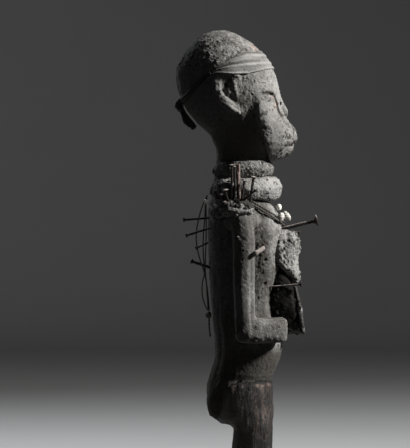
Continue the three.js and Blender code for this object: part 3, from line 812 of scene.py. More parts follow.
def carve_head():
    """Crown, face and ears under clay, down to the neck inside the rolls."""
    form = Form(["figure"], step=0.91, soften=1.76, grow=0.35,
                low=(-60, -70, 454), high=(60, 95, 640))
    _, y, z = form.axes()
    form.calm(4.4, between(z, 538, 552) * between(y, 8, -2) * between(z, 576, 568), 0.4)
    form.calm(3.7, between(y, -41, -30) * between(z, 512, 522), 0.35)
    form.trim(NECK_SEAM - 6 - z, 2.0)
    form.move(1.1 * between(z, 585, 606))
    form.add(lump((0, -44.2, 497.6), (13.5, 6.8, 4.6)), 2.0)
    form.add(lump((0, -41.4, 491.4), (12.5, 6.4, 4.6)), 2.6)
    jaw_line = 488.6 - 0.4 * (y + 44)
    form.trim((jaw_line - z) * 0.93 - 30 * between(y, -26, -19), 1.6)
    past = (-y - np.interp(z, *PROFILE.T)) / slant(PROFILE, np.arange(480.0, 602.0), z)
    form.trim(np.where((z > 484) & (z < 590), past, -9), 1.6)
    form.add(lump((0, -45.5, 514), (15, 6.2, 8)), 5.0)
    for side in (-1, 1):
        shape_ear(form, side)
        shape_eye(form, side)
        edge = [(-12.4, 545, -1.6), (-11.6, 537, -1.1), (-12.2, 528, -1.0), (-14.2, 519, -1.1),
                (-17.2, 511, -1.3), (-21.5, 503, -1.6)]
        form.add(strip(form.on_flank(side, edge), [0.9, 1.7, 2.0, 2.0, 1.8, 1.2]), 2.4)
        # wing of the nose, the crease round it and the nostril
        crease = [(-28.0, 552.6, -0.4), (-30.4, 548, -0.9), (-31.6, 542.4, -1.2),
                  (-32.8, 536.6, -1.0), (-36.6, 531.8, -0.4)]
        form.take(strip(form.on_flank(side, crease), [1.0, 2.0, 2.6, 2.6, 1.6]), 0.8)
        form.add(lump((side * 9.8, -38.2, 537.6), (4.6, 5.0, 4.9), (side * 8, 0, 0)), 0.5)
        form.take(lump((side * 11.5, -35.2, 545.6), (4.0, 1.6, 2.2)), 0.8)
        form.take(lump((side * 6.0, -41.0, 532.6), (3.4, 3.0, 1.9)), 0.7)
        form.take(lump((side * 11.0, -46.4, 500.6), (5.2, 3.4, 2.6), (0, 0, side * 12)), 0.8)
    mouth = form.on_front([(-11, 500.6, 0.3), (-6, 501.4, 0.4), (0, 501.8, 0.4),
                           (6, 501.4, 0.4), (11, 500.6, 0.3)])
    form.take(strip(mouth, [1.5, 1.0, 0.8, 1.0, 1.5]), 0.9)

    def relief(p, n):
        px, py, pz = p.T
        cap = between(pz, 568, 590) * between(np.interp(py, *BAND_UPPER.T) - pz, 3, -4)
        face = between(py, -4, -16) * between(pz, 574, 566)
        behind = 1 - np.clip(cap + face, 0, 1)
        coarse = 0.5 + 0.5 * swells(p, 24, 19)
        shell = between(np.abs(px), 47.6, 49.4) * between(py, 4, 8)
        behind = behind * (1 - 0.8 * shell)
        grit = 0.7 * cap + 0.15 * face + 0.5 * behind
        height = grit * (0.6 + 0.6 * coarse) * (0.6 * swells(p, 2.0, 3, 2)
                                                + 0.5 * swells(p, 4.6, 5))
        height += 0.26 * swells(p, 24, 7, 2) + 0.7 * shell * swells(p, 3.4, 31, 2)
        height += 0.3 * crumbs(p, 2.3, 23, 0.6) * (cap * (0.7 + 0.5 * coarse) + 0.5 * behind)
        holes = pocks(p, 2.0, 21, 0.34) * (0.55 + 0.45 * coarse)
        height -= holes * (0.7 * cap + 0.6 * behind + 0.16 * face)
        jaw_and_chin = patch(py, pz, (-21, 513), (8, 13)) + patch(py, pz, (-42, 494), (9, 8))
        muzzle = between(py, -28, -38) * between(pz, 528, 518) * face
        specks = pocks(p, 2.8, 49, 0.16) * muzzle
        pitted = pocks(p, 2.0, 27, 0.16) * np.clip(jaw_and_chin, 0, 1) * face + specks
        pitted += 0.9 * pocks(p, 2.0, 59, 0.3) * (face + shell)
        height -= 0.75 * pitted
        temple = (between(py, -16, -4) * between(py, 20, 8) * between(pz, 520, 535)
                  * between(pz, 580, 572) * (1 - shell))
        drips = swells(p, 2.2, 33, 2, (1, 1, 2.6))
        height += temple * (0.55 * drips - 0.5 * pocks(p, 2.4, 35, 0.3))
        tone = 0.16 * swells(p, 17, 41, 2) - 0.65 * holes * (1 - face) - 0.5 * pitted
        tone -= 0.4 * specks
        tone += 0.75 * cap * swells(p, 2.8, 61, 2)
        # painted shade on the jaw's side behind the cheek ridge
        tone -= 0.75 * between(pz, 537, 516) * between(py, -16, -4) * (1 - shell)
        tone += 0.15 * (face + shell) - 0.08 * cap - 0.45 * temple * between(drips, 0.2, -0.5)
        # painted shade on the temple's lower part
        tone -= 0.3 * temple * between(pz, 562, 540)
        # painted shade along the creases of the eye, nose, nostril, mouth and lower lid
        lines = sum(share * near_line(py, pz, line, width) for line, width, share in FACE_CREASE_SHADES)
        lines *= 0.65 + 0.5 * swells(p, 3.0, 43)
        tone -= 1.4 * lines * between(np.abs(px), 3, 6)
        rubbed_and_lit = sum(patch(py, pz, middle, size) for middle, size in RUBBED_SPOTS)
        bared = rubbed_and_lit * between(swells(p, 3.4, 47, 2), -0.25, 0.3)
        return height, tone, np.clip(face + 0.5 * shell, 0, 1), bared

    sculpt("clay_head", form, relief, "clay", "clay_coated_wood", ["figure"])


def shape_ear(form, side):
    """A raised C that runs down and forward to a long flat lobe, with a rough hollow in it."""
    form.bar(side, [(ear_side(py) + 0.9, py, pz) for py, pz in EAR_RIM],
             [1.8, 2.5, 3.0, 3.2, 3.4, 3.5, 2.2], 1.2)
    # the lobe, flat and wide, and the broad back of the shell
    form.bar(side, [(47.6, 31.6, 556), (47.4, 27.4, 549.5), (46.9, 20.5, 543.5), (46.2, 13, 538)],
             [2.8, 3.7, 3.9, 2.2], 1.0)
    form.bar(side, [(47.4, 31.5, 571), (47.4, 32, 563), (47.2, 31, 555)], [2.2, 2.6, 2.4], 1.4)
    form.take(lump((side * 51.6, 21.8, 560.0), (4.5, 5.2, 8.6), (side * 10, 0, 0)), 2.6)
    form.add(lump((side * 46.6, 20.6, 556.5), (2.4, 4.2, 6.5), (side * 10, 0, 0)), 2.0)
    for x, y, z, radii, blend in (
            (48.8, 24.6, 564.4, (4.4, 2.4, 3.2), 0.6), (49.0, 27.6, 558.4, (2.8, 1.6, 2.4), 0.8),
            (48.6, 19.4, 552.0, (3.0, 2.2, 2.6), 0.8), (49.0, 20.8, 569.4, (3.0, 2.6, 1.8), 0.8)):
        form.take(lump((side * x, y, z), radii), blend)
    form.bar(side, [(47.1, 16.6, 572), (47.8, 15.6, 564), (47.2, 14, 557), (46.0, 12, 549)],
             [1.4, 1.9, 1.8, 1.0], 2.6)
    form.groove(side, [(46.0, 36.2, 546), (45.8, 27.5, 537), (45.6, 18, 530), (44.5, 8, 526)],
                [0.8, 2.2, 2.6, 1.4], 1.4)


def shape_eye(form, side):
    """A half-closed eye on the side of the face: its bulge, its lid and the dark slit."""
    middle = form.meets(0, side, -22.5, 552.5)
    form.add(lump((middle - side * 2.2, -21.8, 551.6), (7.6, 3.8, 4.4), (0, 0, side * 42)), 2.4)
    upper = [(-13.2, 556.8, -0.4), (-17, 558.6, 0.2), (-21.5, 559.4, 0.4), (-26, 558.4, 0.4),
             (-30, 555.4, 0.0)]
    form.add(strip(form.on_flank(side, upper), [0.8, 1.4, 1.6, 1.5, 0.8]), 2.0)
    slit = [(-12.6, 554.4, 0.3), (-16.6, 555.4, 0.1), (-20.6, 555.6, -0.1), (-24.6, 555.2, -0.4),
            (-28.2, 553.4, 0.0)]
    form.take(strip(form.on_flank(side, slit), [0.7, 1.5, 1.9, 2.3, 1.2]), 0.5)
    form.take(lump(form.on_flank(side, [(-25.2, 555.0, -0.2)])[0], (2.4, 2.6, 1.5)), 0.5)


def waist_line(y):
    """The height of the clay's lower edge, which drops behind the hips to take in the seat."""
    return 241.8 - 5 * between(y, 10, 24) - 37 * between(y, 21, 34)


def below_waist(y, z):
    """How far a place lies below the clay's lower edge."""
    slope = waist_line(y + 0.5) - waist_line(y - 0.5)
    return (waist_line(y) - z) / np.sqrt(1 + slope ** 2)


def carve_trunk():
    """Chest, back and arms under clay, from the neck inside the rolls to the waist."""
    form = Form(["figure"], step=1.15, soften=1.5, grow=0.4,
                low=(-75, -60, 190), high=(75, 60, 474))
    x, y, z = form.axes()
    trunk = between(np.abs(x), 41, 33) + between(z, 283, 272)
    form.calm(3.4, np.clip(trunk, 0, 1), 0.35)
    form.trim(z - 472, 2.0)
    front = between(y, 22, 12)
    lower = below_waist(y, z)
    ragged = 0.6 * np.sin(y * 0.31 + x * 0.17 + z * 0.2) + 0.45 * np.sin(x * 0.67 + y * 0.8 + 1)
    thin = 1.4 * front * between(z, 250, 243) + 0.5 * (1 - front) * between(lower, -9, -1)
    form.move(thin)
    torn = 0.8 * np.sin(y * 1.15 + 0.6) * np.sin(y * 0.47 + x * 0.3)
    form.trim(lower + ragged * (1.6 - 0.5 * front) + front * (torn - 0.4), 0.8)
    for side in (-1, 1):
        lip = [(-5.4, 346, -0.2), (-5.6, 330, 0.1), (-5.4, 313, 0.0)]
        form.add(strip(form.on_flank(side, lip), [0.5, 1.1, 0.7]), 0.9)
        hollow = [(-3.0, 390, 0.6), (-2.6, 360, 0.9), (-2.8, 330, 0.8), (-2.2, 306, 0.3)]
        form.take(strip(form.on_flank(side, hollow), [0.6, 1.2, 1.2, 0.6]), 2.6)
        # the armpit's rough groove, and the planes hewn into the side behind the arm
        form.groove(side, [(46, -12.5, 414), (45, -15, 390), (43.2, -13.5, 358),
                           (41.5, -11, 322)], [1.6, 2.6, 1.8, 1.0], 1.4)
        form.groove(side, [(41.5, 26.5, 408), (41.5, 27.5, 372), (39.8, 26.5, 330),
                           (39.5, 25, 296)], [1.0, 2.0, 1.8, 0.8], 1.2)
        form.groove(side, [(30.5, 41.0, 404), (30, 41.5, 366), (27, 41, 322)],
                    [0.6, 1.5, 0.6], 1.2)
        # fingers laid on the belly, as shallow cuts in the front of the fist
        for step, low in enumerate((292.2, 297.2, 302.2)):
            form.groove(side, [(46.5 - step, -36, low), (41.5, -41.4, low + 0.3),
                               (35, -43.4, low + 0.5), (28, -42.2, low)], [0.4, 1.0, 1.1, 0.7], 1.2)
    form.take(strip([(0, 44.5, 412), (0.5, 45.2, 375), (-0.5, 43.6, 330), (0, 41.5, 290),
                     (0, 40, 262)], [0.6, 1.6, 1.8, 1.5, 0.8]), 3.5)
    for py, pz, wide in OLD_HOLES:
        form.take(lump(form.on_flank(-1, [(py, pz, 0)])[0], (4.2, wide, wide * 1.2)), 0.5)

    def relief(p, n):
        px, py, pz = p.T
        arm = between(np.abs(px), 46, 52)
        low_arm = arm * between(pz, 350, 335) * between(pz, 306, 312)
        fist = between(pz, 318, 308) * between(pz, 280, 284) * between(np.abs(px), 26, 34)
        flank = between(py, 2, -6) * (1 - arm) * between(pz, 300, 320)
        coarse = 0.5 + 0.5 * swells(p, 24, 19)
        grit = (0.46 - 0.26 * low_arm + 0.12 * fist + 0.14 * flank) * (0.6 + 0.6 * coarse)
        height = grit * (0.6 * swells(p, 2.4, 3, 2) + 0.5 * swells(p, 5.6, 5))
        height += 0.3 * swells(p, 26, 7, 2)
        streak = swells(p, 3.2, 13, 2, (1, 1, 6))
        height += 0.26 * streak * (1 - 0.4 * arm)
        holes = pocks(p, 2.4, 21, 0.42) * (0.4 + 0.6 * coarse) * (1 - 0.8 * low_arm)
        height += 0.7 * crumbs(p, 2.8, 23, 0.4) * grit - 0.75 * holes
        rough = patch(py, pz, (-13, 380), (6, 28)) * (1 - arm)
        torn = pocks(p, 2.8, 37, 0.05)
        height += rough * (0.9 * crumbs(p, 3.2, 29, 0.6) - 1.5 * torn)
        outer = patch(py, pz, (9, 400), (8, 30)) * arm
        height += outer * 0.5 * swells(p, 2.4, 39, 2)
        hewn = between(py, 6, 16) * (1 - arm)
        height += 0.5 * hewn * swells(p, 5.5, 15, 1, (1, 1, 14))
        lower = below_waist(py, pz)
        height *= between(lower, 1, -5)
        height -= 0.9 * fist * between(n[:, 1], -0.5, -0.9)
        dimples = pocks(p, 2.4, 53, 0.3) * fist
        height -= 0.5 * dimples
        tone = 0.26 * swells(p, 20, 41, 2) + 0.26 * streak - 0.6 * holes - rough * (0.35 + torn)
        tone += 0.06 * low_arm - 0.2 * hewn
        # painted shade: along the clay's lower edge at the front, at the seat's corner, over the
        # clay on the seat, below the forearms, on the flank under the chest pack, and over the
        # fists and upper arms
        tone -= between(pz, 246, 243) * between(py, 22, 12)
        tone -= patch(py, pz, (19, 239), (5, 5))
        tone -= 0.5 * between(pz, 262, 226) * between(py, 6, 22) + 1.05 * between(pz, 284, 268)
        tone -= 0.65 * flank * (1 - 1.15 * between(py, -16, -27) * between(pz, 340, 378))
        tone += 0.4 * swells(p, 3.4, 63, 2) * np.clip(fist + flank, 0, 1)
        tone -= 0.24 * fist + 0.6 * dimples + arm * (0.22 + 0.3 * between(pz, 330, 380))
        # painted shade inside the old holes on the right side
        for hole_y, hole_z, wide in OLD_HOLES:
            tone -= 1.2 * np.exp(-((py - hole_y) ** 2 + (pz - hole_z) ** 2) / wide ** 2) * (px < 0)
        return height, tone, 0.8 * low_arm

    sculpt("clay_trunk", form, relief, "clay", "clay_coated_wood", ["figure"])


def carve_hips():
    """Bare hips, legs, feet and the block, with adze marks and cracks along the grain."""
    form = Form(["figure"], step=1.25, soften=1.7, grow=0.1,
                low=(-75, -75, -5), high=(75, 75, 262))
    x, y, z = form.axes()
    form.calm(3.2, between(z, 186, 196), 0.2)
    front = between(y, 30, 18)
    form.move(-1.3 * front * between(z, 216, 233))
    form.move(0.4 * between(below_waist(y, z), 3, -1) * (1 - front))
    round_ = np.arctan2(y - 9, x)
    top = 3.0 * (1 - front) + 0.5 * np.sin(2 * round_ + 0.5) + 0.3 * np.sin(9 * round_)
    form.trim(-below_waist(y, z) - top, 2.6)
    form.trim(-z, 0.4)
    cracks = (
        ([(14.5, 236, 0.2), (15.5, 220, 0.2), (15, 203, 0.2)], [0.4, 0.9, 0.3]),
        ([(-9, 234, 0.2), (-10, 216, 0.2), (-9, 198, 0.2)], [0.3, 0.7, 0.3]),
        ([(28, 216, 0.2), (29, 208, 0.2), (27, 203, 0.2)], [0.3, 0.7, 0.3]),
        ([(-17, 238, 0.1), (-18, 222, 0.2), (-16, 178, 0.2)], [0.8, 0.8, 0.3]),
    )
    for side in (-1, 1):
        for spots, widths in cracks:
            form.take(strip(form.on_flank(side, spots), widths), 0.8)
        edge = [(2.2, 214, -0.3), (1.8, 203, 0.1), (1.6, 192, 0.1), (1.2, 183, -0.3)]
        form.add(strip(form.on_flank(side, edge), [0.4, 1.1, 1.1, 0.4]), 0.8)
        # the gaps between the toes
        for gap in (-9.5, -3.5, 2.5, 8.0):
            middle = side * (LEG_X + 3) + gap
            form.take(strip([(middle, -33, 36), (middle, -42, 34.5), (middle, -48.5, 30)],
                            [0.3, 0.9, 0.8]), 1.0)
    form.take(strip([(0, 42, 238), (0, 45, 224), (0, 44, 206), (0, 36, 192)],
                    [0.8, 2.2, 2.6, 1.8]), 4.0)

    def relief(p, n):
        _, py, pz = p.T
        block = between(pz, 34, 26)
        height = 0.45 * swells(p, 22, 3, 2) + 0.25 * swells(p, 4, 5, 2, (1, 1, 3))
        height += 0.55 * swells(p, 6, 9, 2)
        facet = crumbs(p * (1, 1, 0.55), 13, 17) * (1 - block)
        check = between(swells(p, 6.0, 13, 1, (1, 1, 7)), 0.62, 0.8) * (1 - block)
        holes = pocks(p, 3, 21, 0.46)
        height -= 0.4 * facet + 0.5 * check + 0.6 * holes
        chips = crumbs(p, 9, 25, 0.25) * block * between(np.abs(n[:, 2]), 0.95, 0.6)
        height = (height - 0.9 * chips) * between(pz, 0.5, 3)
        height *= between(below_waist(py, pz), -2, 4)
        front_top = between(py, 6, -6) * between(pz, 214, 236)
        tone = swells(p, 13, 41, 3, (1, 1, 1.6)) - 0.5 * check - 0.35 * holes - 0.2
        flaked = between(swells(p, 5, 51, 2), -0.2, 0.4)
        tone += 1.3 * flaked * between(pz, 235.5, 238) * between(py, 20, 12) + 0.1 * front_top
        # painted shadow: a dark line just under the clay's edge at the front
        tone -= 1.6 * between(pz, 239.2, 240.4) * between(py, 20, 12)
        tone -= 0.15 * between(pz, 215, 190)
        return height, tone

    sculpt("bare_wood", form, relief, "wood", "bare_wood", ["figure"])


# Cloth band, rolls and packs

def band_folds(y, share):
    """Long folds that run round the band, at a share of the way up it."""
    return (np.sin(share * 17 + 1.4 * np.sin(y * 0.045 + 1) - y * 0.05)
            + 0.6 * np.sin(share * 29 - y * 0.11 + 2))


def wrap_headband():
    """The cloth band: thin along its upper edge, drawn into folds, with a rolled lower hem."""
    form = Form(["figure"], step=0.8, soften=2.2, low=(-60, -70, 515), high=(60, 95, 622))
    x, y, z = form.axes()
    form.calm(4.8, 1, 0.35)
    high, low = (np.interp(y, *edge.T) for edge in (BAND_UPPER, BAND_LOWER))
    share = np.clip((z - low) / np.maximum(high - low, 1), 0, 1)
    lean = 1 / slant(BAND_LOWER, np.arange(-80.0, 120.0), y)
    gather = between(y, -34, 26)
    folds = band_folds(y, share)
    thick = 0.7 + 0.75 * (1 - share) + 0.42 * folds * (0.35 + 0.65 * gather)
    thick = thick + 0.5 * gather * between(y, 30, 45) + 0.25 * folds * between(y, 30, 45)
    skull = form.field.copy()
    form.field = (skull - thick).astype(np.float32)
    ragged = 0.45 * np.sin(y * 0.42 + np.sign(x) * 2) + 0.35 * np.sin(y * 0.9 + x * 0.2)
    form.trim(np.maximum(z - high + 0.8 * ragged, low - z + 0.3 * ragged) * lean, 1.0)
    form.trim(-skull - 1.6, 0.6)
    near = np.abs(z - low - 1.1 - 0.3 * ragged) * lean
    hem = np.hypot(near, skull - 0.95) - 1.0 - 0.12 * np.sin(y * 0.5) - 0.15 * ragged
    hem = hem + 0.4 * between(y, -12, -30) + 0.8 * between(y, 26, 38)
    form.field = joined(form.field, hem, 0.8, 1).astype(np.float32)

    def relief(p, n):
        height = 0.1 * swells(p, 2.2, 3, 2) + 0.18 * swells(p, 12, 7)
        crease = between(swells(p, 2.2, 11, 1, (1, 6, 1)), 0.3, 0.7)
        pits = crumbs(p, 3.4, 21, 0.06)
        height -= 0.16 * crease + 0.4 * pits
        tone = 0.1 + 0.16 * swells(p, 15, 41, 2) - 0.2 * crease - 0.4 * pits
        low, high = (np.interp(p[:, 1], *edge.T) for edge in (BAND_LOWER, BAND_UPPER))
        share = np.clip((p[:, 2] - low) / np.maximum(high - low, 1), 0, 1)
        # painted light and shade along the band's folds, on its front
        tone += 0.48 * band_folds(p[:, 1], share) * between(p[:, 1], -34, 0)
        # painted shade over the band's back part, darkest behind the ear
        tone -= 0.45 * between(p[:, 1], 4, 28)
        tone -= 0.9 * between(p[:, 1], 24, 38)
        return height, tone

    sculpt("cloth_headband", form, relief, "cloth", "caked_cloth", ["headband"], 3.5)


def tie_knot():
    """The knot at the nape, with folds drawn into it and its torn tail."""
    form = Form(["headband_knot"], 0.65, 1.5, grow=0.1)
    for bight, widths in (
            ([(-11, 69, 551), (-8, 76, 548), (-6.5, 78, 542), (-9, 72, 538)], [1, 2.2, 2.2, 1]),
            ([(7, 71, 549), (10, 76, 545), (9, 76, 540), (4, 73, 536)], [1, 2.0, 2.0, 1]),
            ([(-7, 74, 541), (-1, 78.5, 543), (6, 76, 547)], [1.2, 2.4, 1.4]),
            ([(-3, 74, 537), (-6.5, 71, 531), (-4, 69.5, 525), (-7.5, 64, 520)], [1, 2, 1.6, 1])):
        form.add(strip(bight, widths), 0.8)
    for fold in ([(-9, 77, 549.5), (-2, 80, 547.4), (6, 78, 550)],
                 [(-8, 77.6, 539.5), (-1, 79.4, 539.8), (5, 77.6, 537)],
                 [(-4, 76, 540), (-3.6, 74, 531), (-4.4, 67, 521)],
                 [(2, 75.5, 538), (0.5, 71.5, 529), (-1.5, 64, 519)]):
        form.take(strip(fold, 0.7), 0.8)
    for x, y, z in ((-2, 62, 519), (1.5, 66, 523), (-7, 61, 516)):
        form.take(lump((x, y, z), (1.4, 3.0, 2.2)), 0.8)

    def relief(p, n):
        holes = pocks(p, 2.2, 21, 0.4)
        height = 0.35 * swells(p, 2.0, 3, 2) + 0.4 * swells(p, 6, 7) - 0.5 * holes
        # the knot's whole tone is lowered: painted shade over the knot at the nape
        return height, 0.25 * swells(p, 9, 41, 2) - 0.4 * holes - 0.85

    sculpt("cloth_nape_knot", form, relief, "cloth", "caked_cloth", ["headband_knot"], 2.5)


def cake_rolls():
    """The two clay-caked rolls round the neck."""
    def relief(p, n):
        coarse = 0.5 + 0.5 * swells(p, 14, 19)
        holes = pocks(p, 2.4, 21, 0.3)
        grains = crumbs(p, 2.5, 23, 0.7)
        height = 0.45 * swells(p, 2.2, 3, 2) + 0.5 * swells(p, 9, 5) - 0.9 * holes
        height += (0.3 + 0.4 * coarse) * grains
        lit = 0.5 * between(p[:, 2], 466, 462) * between(p[:, 1], 0, -20)
        return height, 0.2 * swells(p, 12, 41, 2) - 0.5 * holes + 0.12 * grains + lit

    for name in ("neck_roll_upper", "neck_roll_lower"):
        form = Form([name], 0.95, 1.8, grow=0.2)
        _, y, _ = form.axes()
        form.calm(4.6, between(y, -12, -24), 1.0)
        sculpt("clay_" + name, form, relief, "medicine", "medicine_clay", [name], 4.0)


def scatter_lumps(form, seed, count, sizes, low, high, middle):
    """Sinks small lumps into a form's skin between two corners, the same ones each time."""
    draw = np.random.default_rng(seed)
    points, _ = form.skin()
    points = points[np.all((points > low) & (points < high), axis=1)]
    for spot in points[draw.integers(0, len(points), count)]:
        size = draw.uniform(*sizes, 3)
        inward = np.array(middle) - spot
        spot = spot + inward / np.linalg.norm(inward) * size.mean() * 0.35
        form.add(lump(spot, size, draw.uniform(0, 90, 3)), 0.9)


def crumbly(p, grain, lumps, pits, mottling=0.0):
    """Height, tone and holes of packed clay.

    The grain has a size and a rise; the lumps a size, a share, a rise and how pale they are; the
    pits a size, how few they are, a depth and how dirty they are.
    """
    size, share, rise, pale = lumps
    lumps = crumbs(p, size, 23, share)
    size, few, depth, dirt = pits
    holes = pocks(p, size, 21, few)
    height = grain[1] * swells(p, grain[0], 3, 2) + rise * lumps - depth * holes
    return height, mottling * swells(p, 8, 41, 2) - dirt * holes + pale * lumps, holes


def pack_shoulders():
    """The crumbling packs that hold the shoulder nails."""
    for side, name, ledge in ((-1, "shoulder_pack_right", 66), (1, "shoulder_pack_left", 63)):
        form = Form([name], 0.8, 1.4, grow=0.1)
        form.add(lump((side * 37, 31.5, 428), (9, 8.5, 8)), 3.0)
        form.bar(side, [(ledge - 2, 26, 427), (ledge + 1.5, 20, 428), (ledge + 2.5, 11, 427.5),
                        (ledge, 1, 428)], [2.2, 2.8, 2.8, 2.0], 1.2)
        scatter_lumps(form, seed=51 + side, count=60, sizes=(1.3, 3.6), low=(-90, -20, 420),
                      high=(90, 50, 470), middle=(side * 52, 16, 434))

        def relief(p, n):
            height, tone, holes = crumbly(p, grain=(2.6, 0.5), lumps=(2.8, 0.7, 0.55, 0.3),
                                          pits=(3.0, 0.1, 1.5, 1.1), mottling=0.5)
            return height, tone + 0.8 * between(n[:, 2], 0.1, 0.7) * (1 - holes)

        sculpt("clay_" + name, form, relief, "medicine", "medicine_clay", [name], 4.0)


def pack_chest():
    """The granular pack on the chest, creased beside its bulge."""
    form = Form(["chest_pack"], 0.95, 1.8, grow=0.45)
    for side in (-1, 1):
        form.bar(side, [(18, -37, 405), (24, -34.5, 397), (26.2, -33.0, 387), (25.4, -34.0, 377),
                        (23.6, -38.6, 368), (19, -46, 360)], [2.6, 4.6, 5.2, 4.6, 3.4, 2.4], 3.6)
        for z in (395, 388, 380, 373):
            form.take(lump((side * (28.5 - (z - 384) ** 2 * 0.01), -38.4, z + 1.5 * side),
                           (2.6, 1.3, 2.0)), 0.8)
    scatter_lumps(form, seed=61, count=34, sizes=(1.4, 3.4), low=(-40, -70, 352),
                  high=(40, -36, 405), middle=(0, -35, 382))

    def relief(p, n):
        height, tone, _ = crumbly(p, grain=(2.6, 0.55), lumps=(2.8, 0.8, 0.6, 0.35),
                                  pits=(1.8, 0.28, 1.0, 0.55), mottling=0.35)
        return height + 0.5 * swells(p, 12, 5), tone + 0.2

    sculpt("clay_chest_pack", form, relief, "medicine", "medicine_clay", ["chest_pack"], 4.0)


def pack_belly():
    """The black resin box on the belly and the ragged crust over its front."""
    form = Form(["belly_pack"], 1.0, 1.4, grow=0.3)
    scatter_lumps(form, seed=71, count=40, sizes=(1.6, 4.0), low=(-40, -60, 294),
                  high=(40, -24, 344), middle=(0, -30, 318))

    def relief(p, n):
        height, tone, _ = crumbly(p, grain=(3.0, 0.4), lumps=(3.6, 0.6, 0.6, 0),
                                  pits=(3.0, 0.3, 1.0, 0))
        return height + 0.7 * swells(p, 9, 5), tone

    sculpt("resin_belly_pack", form, relief, "resin", "black_resin", ["belly_pack"], 4.0)

    form = Form(["belly_pack_cover"], 0.8, 1.0, grow=0.35)
    for x, z, wide, tall in ((-20, 300, 3.6, 2.6), (14, 296.5, 3.0, 2.2), (22, 312, 2.6, 3.2),
                             (-24.5, 318, 2.4, 3.4), (-9, 343, 3.4, 2.0), (8, 341.5, 2.6, 2.4),
                             (-3, 309, 2.2, 2.6), (10, 327, 1.8, 2.4), (-14, 330, 1.6, 2.0)):
        form.take(lump((x, -57, z), (wide, 9, tall)), 1.0)

    def crust_relief(p, n):
        height, tone, _ = crumbly(p, grain=(2.6, 0.45), lumps=(2.8, 0.7, 0.4, 0),
                                  pits=(2.4, 0.2, 0.8, 0.6), mottling=0.35)
        rim = np.exp(-((p[:, 2] - 321) / 4) ** 2) + 0.8 * between(p[:, 2], 304, 297)
        return height, tone - 0.25 + 0.9 * rim

    sculpt("clay_belly_crust", form, crust_relief, "crust", "medicine_clay",
           ["belly_pack_cover"], 3.0)


# Nails and cords, grown along their own lines

NAIL_RINGS, NAIL_SIDES, CORD_SIDES = 56, 12, 15


def circle(b, sides):
    return b.make("GeometryNodeCurvePrimitiveCircle", {"Resolution": sides, "Radius": 1.0})


def sweep(b, line, ring, width):
    """A closed body swept along a line."""
    return b.make("GeometryNodeCurveToMesh", {"Curve": line, "Profile Curve": ring,
                                              "Scale": width, "Fill Caps": True})


def close_tree(b, body, finish, out):
    """Smooth shading, real copies and the finish, as every tree ends."""
    smooth = b.make("GeometryNodeSetShadeSmooth", {"Geometry": body})
    real = b.make("GeometryNodeRealizeInstances", {"Geometry": smooth})
    done = b.make("GeometryNodeSetMaterial", {"Geometry": real, "Material": finish})
    b.feed(out["Geometry"], done)


def tree_nail():
    """A forged nail: a domed, hammered head, a slightly bowed shank and a point."""
    tree, b, given, out = new_group("forged_nail", "GeometryNodeTree", [
        ("Geometry", SOLID, None), ("Length", FLOAT, 0.04), ("Shank", FLOAT, 0.0012),
        ("Cap", FLOAT, 0.003), ("Cap Height", FLOAT, 0.0015), ("Bow", FLOAT, 0.0005),
        ("Seed", FLOAT, 0.0), ("Finish", FINISH, None),
    ], [("Geometry", SOLID)])
    length, high = given["Length"], given["Cap Height"]
    rings = b.make("GeometryNodeResampleCurve", {
        "Curve": b.make("GeometryNodeCurvePrimitiveLine"), "Count": NAIL_RINGS})
    share = b.add("GeometryNodeSplineParameter").outputs["Factor"]
    depth = b.times(b.math("POWER", share, 2.0), length)
    bow = b.math("SINE", b.times(b.math("DIVIDE", depth, length), math.pi))
    bow = b.times(bow, given["Bow"])
    place = b.make("ShaderNodeCombineXYZ", {"X": bow, "Y": b.times(bow, 0.6), "Z": depth})
    axis = b.make("GeometryNodeSetPosition", {"Geometry": rings, "Position": place})
    spot = b.make("GeometryNodeInputPosition")
    down = b.add("ShaderNodeSeparateXYZ", {0: spot}).outputs["Z"]
    up = b.less(1.0, b.math("DIVIDE", down, b.times(high, 0.7)), True)
    dome = b.times(b.math("SQRT", b.less(1.0, b.times(up, up)), clamp=True), given["Cap"])
    taper = b.ramp(b.math("DIVIDE", down, length), 1.0, 0.7, 0.08, 1.0)
    shank = b.times(taper, given["Shank"])
    below = b.math("POWER", b.ramp(b.math("DIVIDE", down, high), 0.75, 2.1), 0.35)
    width = b.plus(b.times(dome, b.less(1.0, below)), b.times(shank, below))
    body = sweep(b, axis, circle(b, NAIL_SIDES), width)
    apart = b.make("ShaderNodeCombineXYZ", {"X": given["Seed"]})
    amount = b.plus(b.times(given["Shank"], 0.5), b.times(given["Cap"], 0.14))
    dents = b.shake(amount, Vector=b.vector("ADD", spot, apart), Scale=420.0, Detail=2.0)
    body = b.make("GeometryNodeSetPosition", {"Geometry": body, "Offset": dents})
    body = b.make("GeometryNodeMergeByDistance", {"Geometry": body, "Distance": 0.00002})
    close_tree(b, body, given["Finish"], out)
    return tree


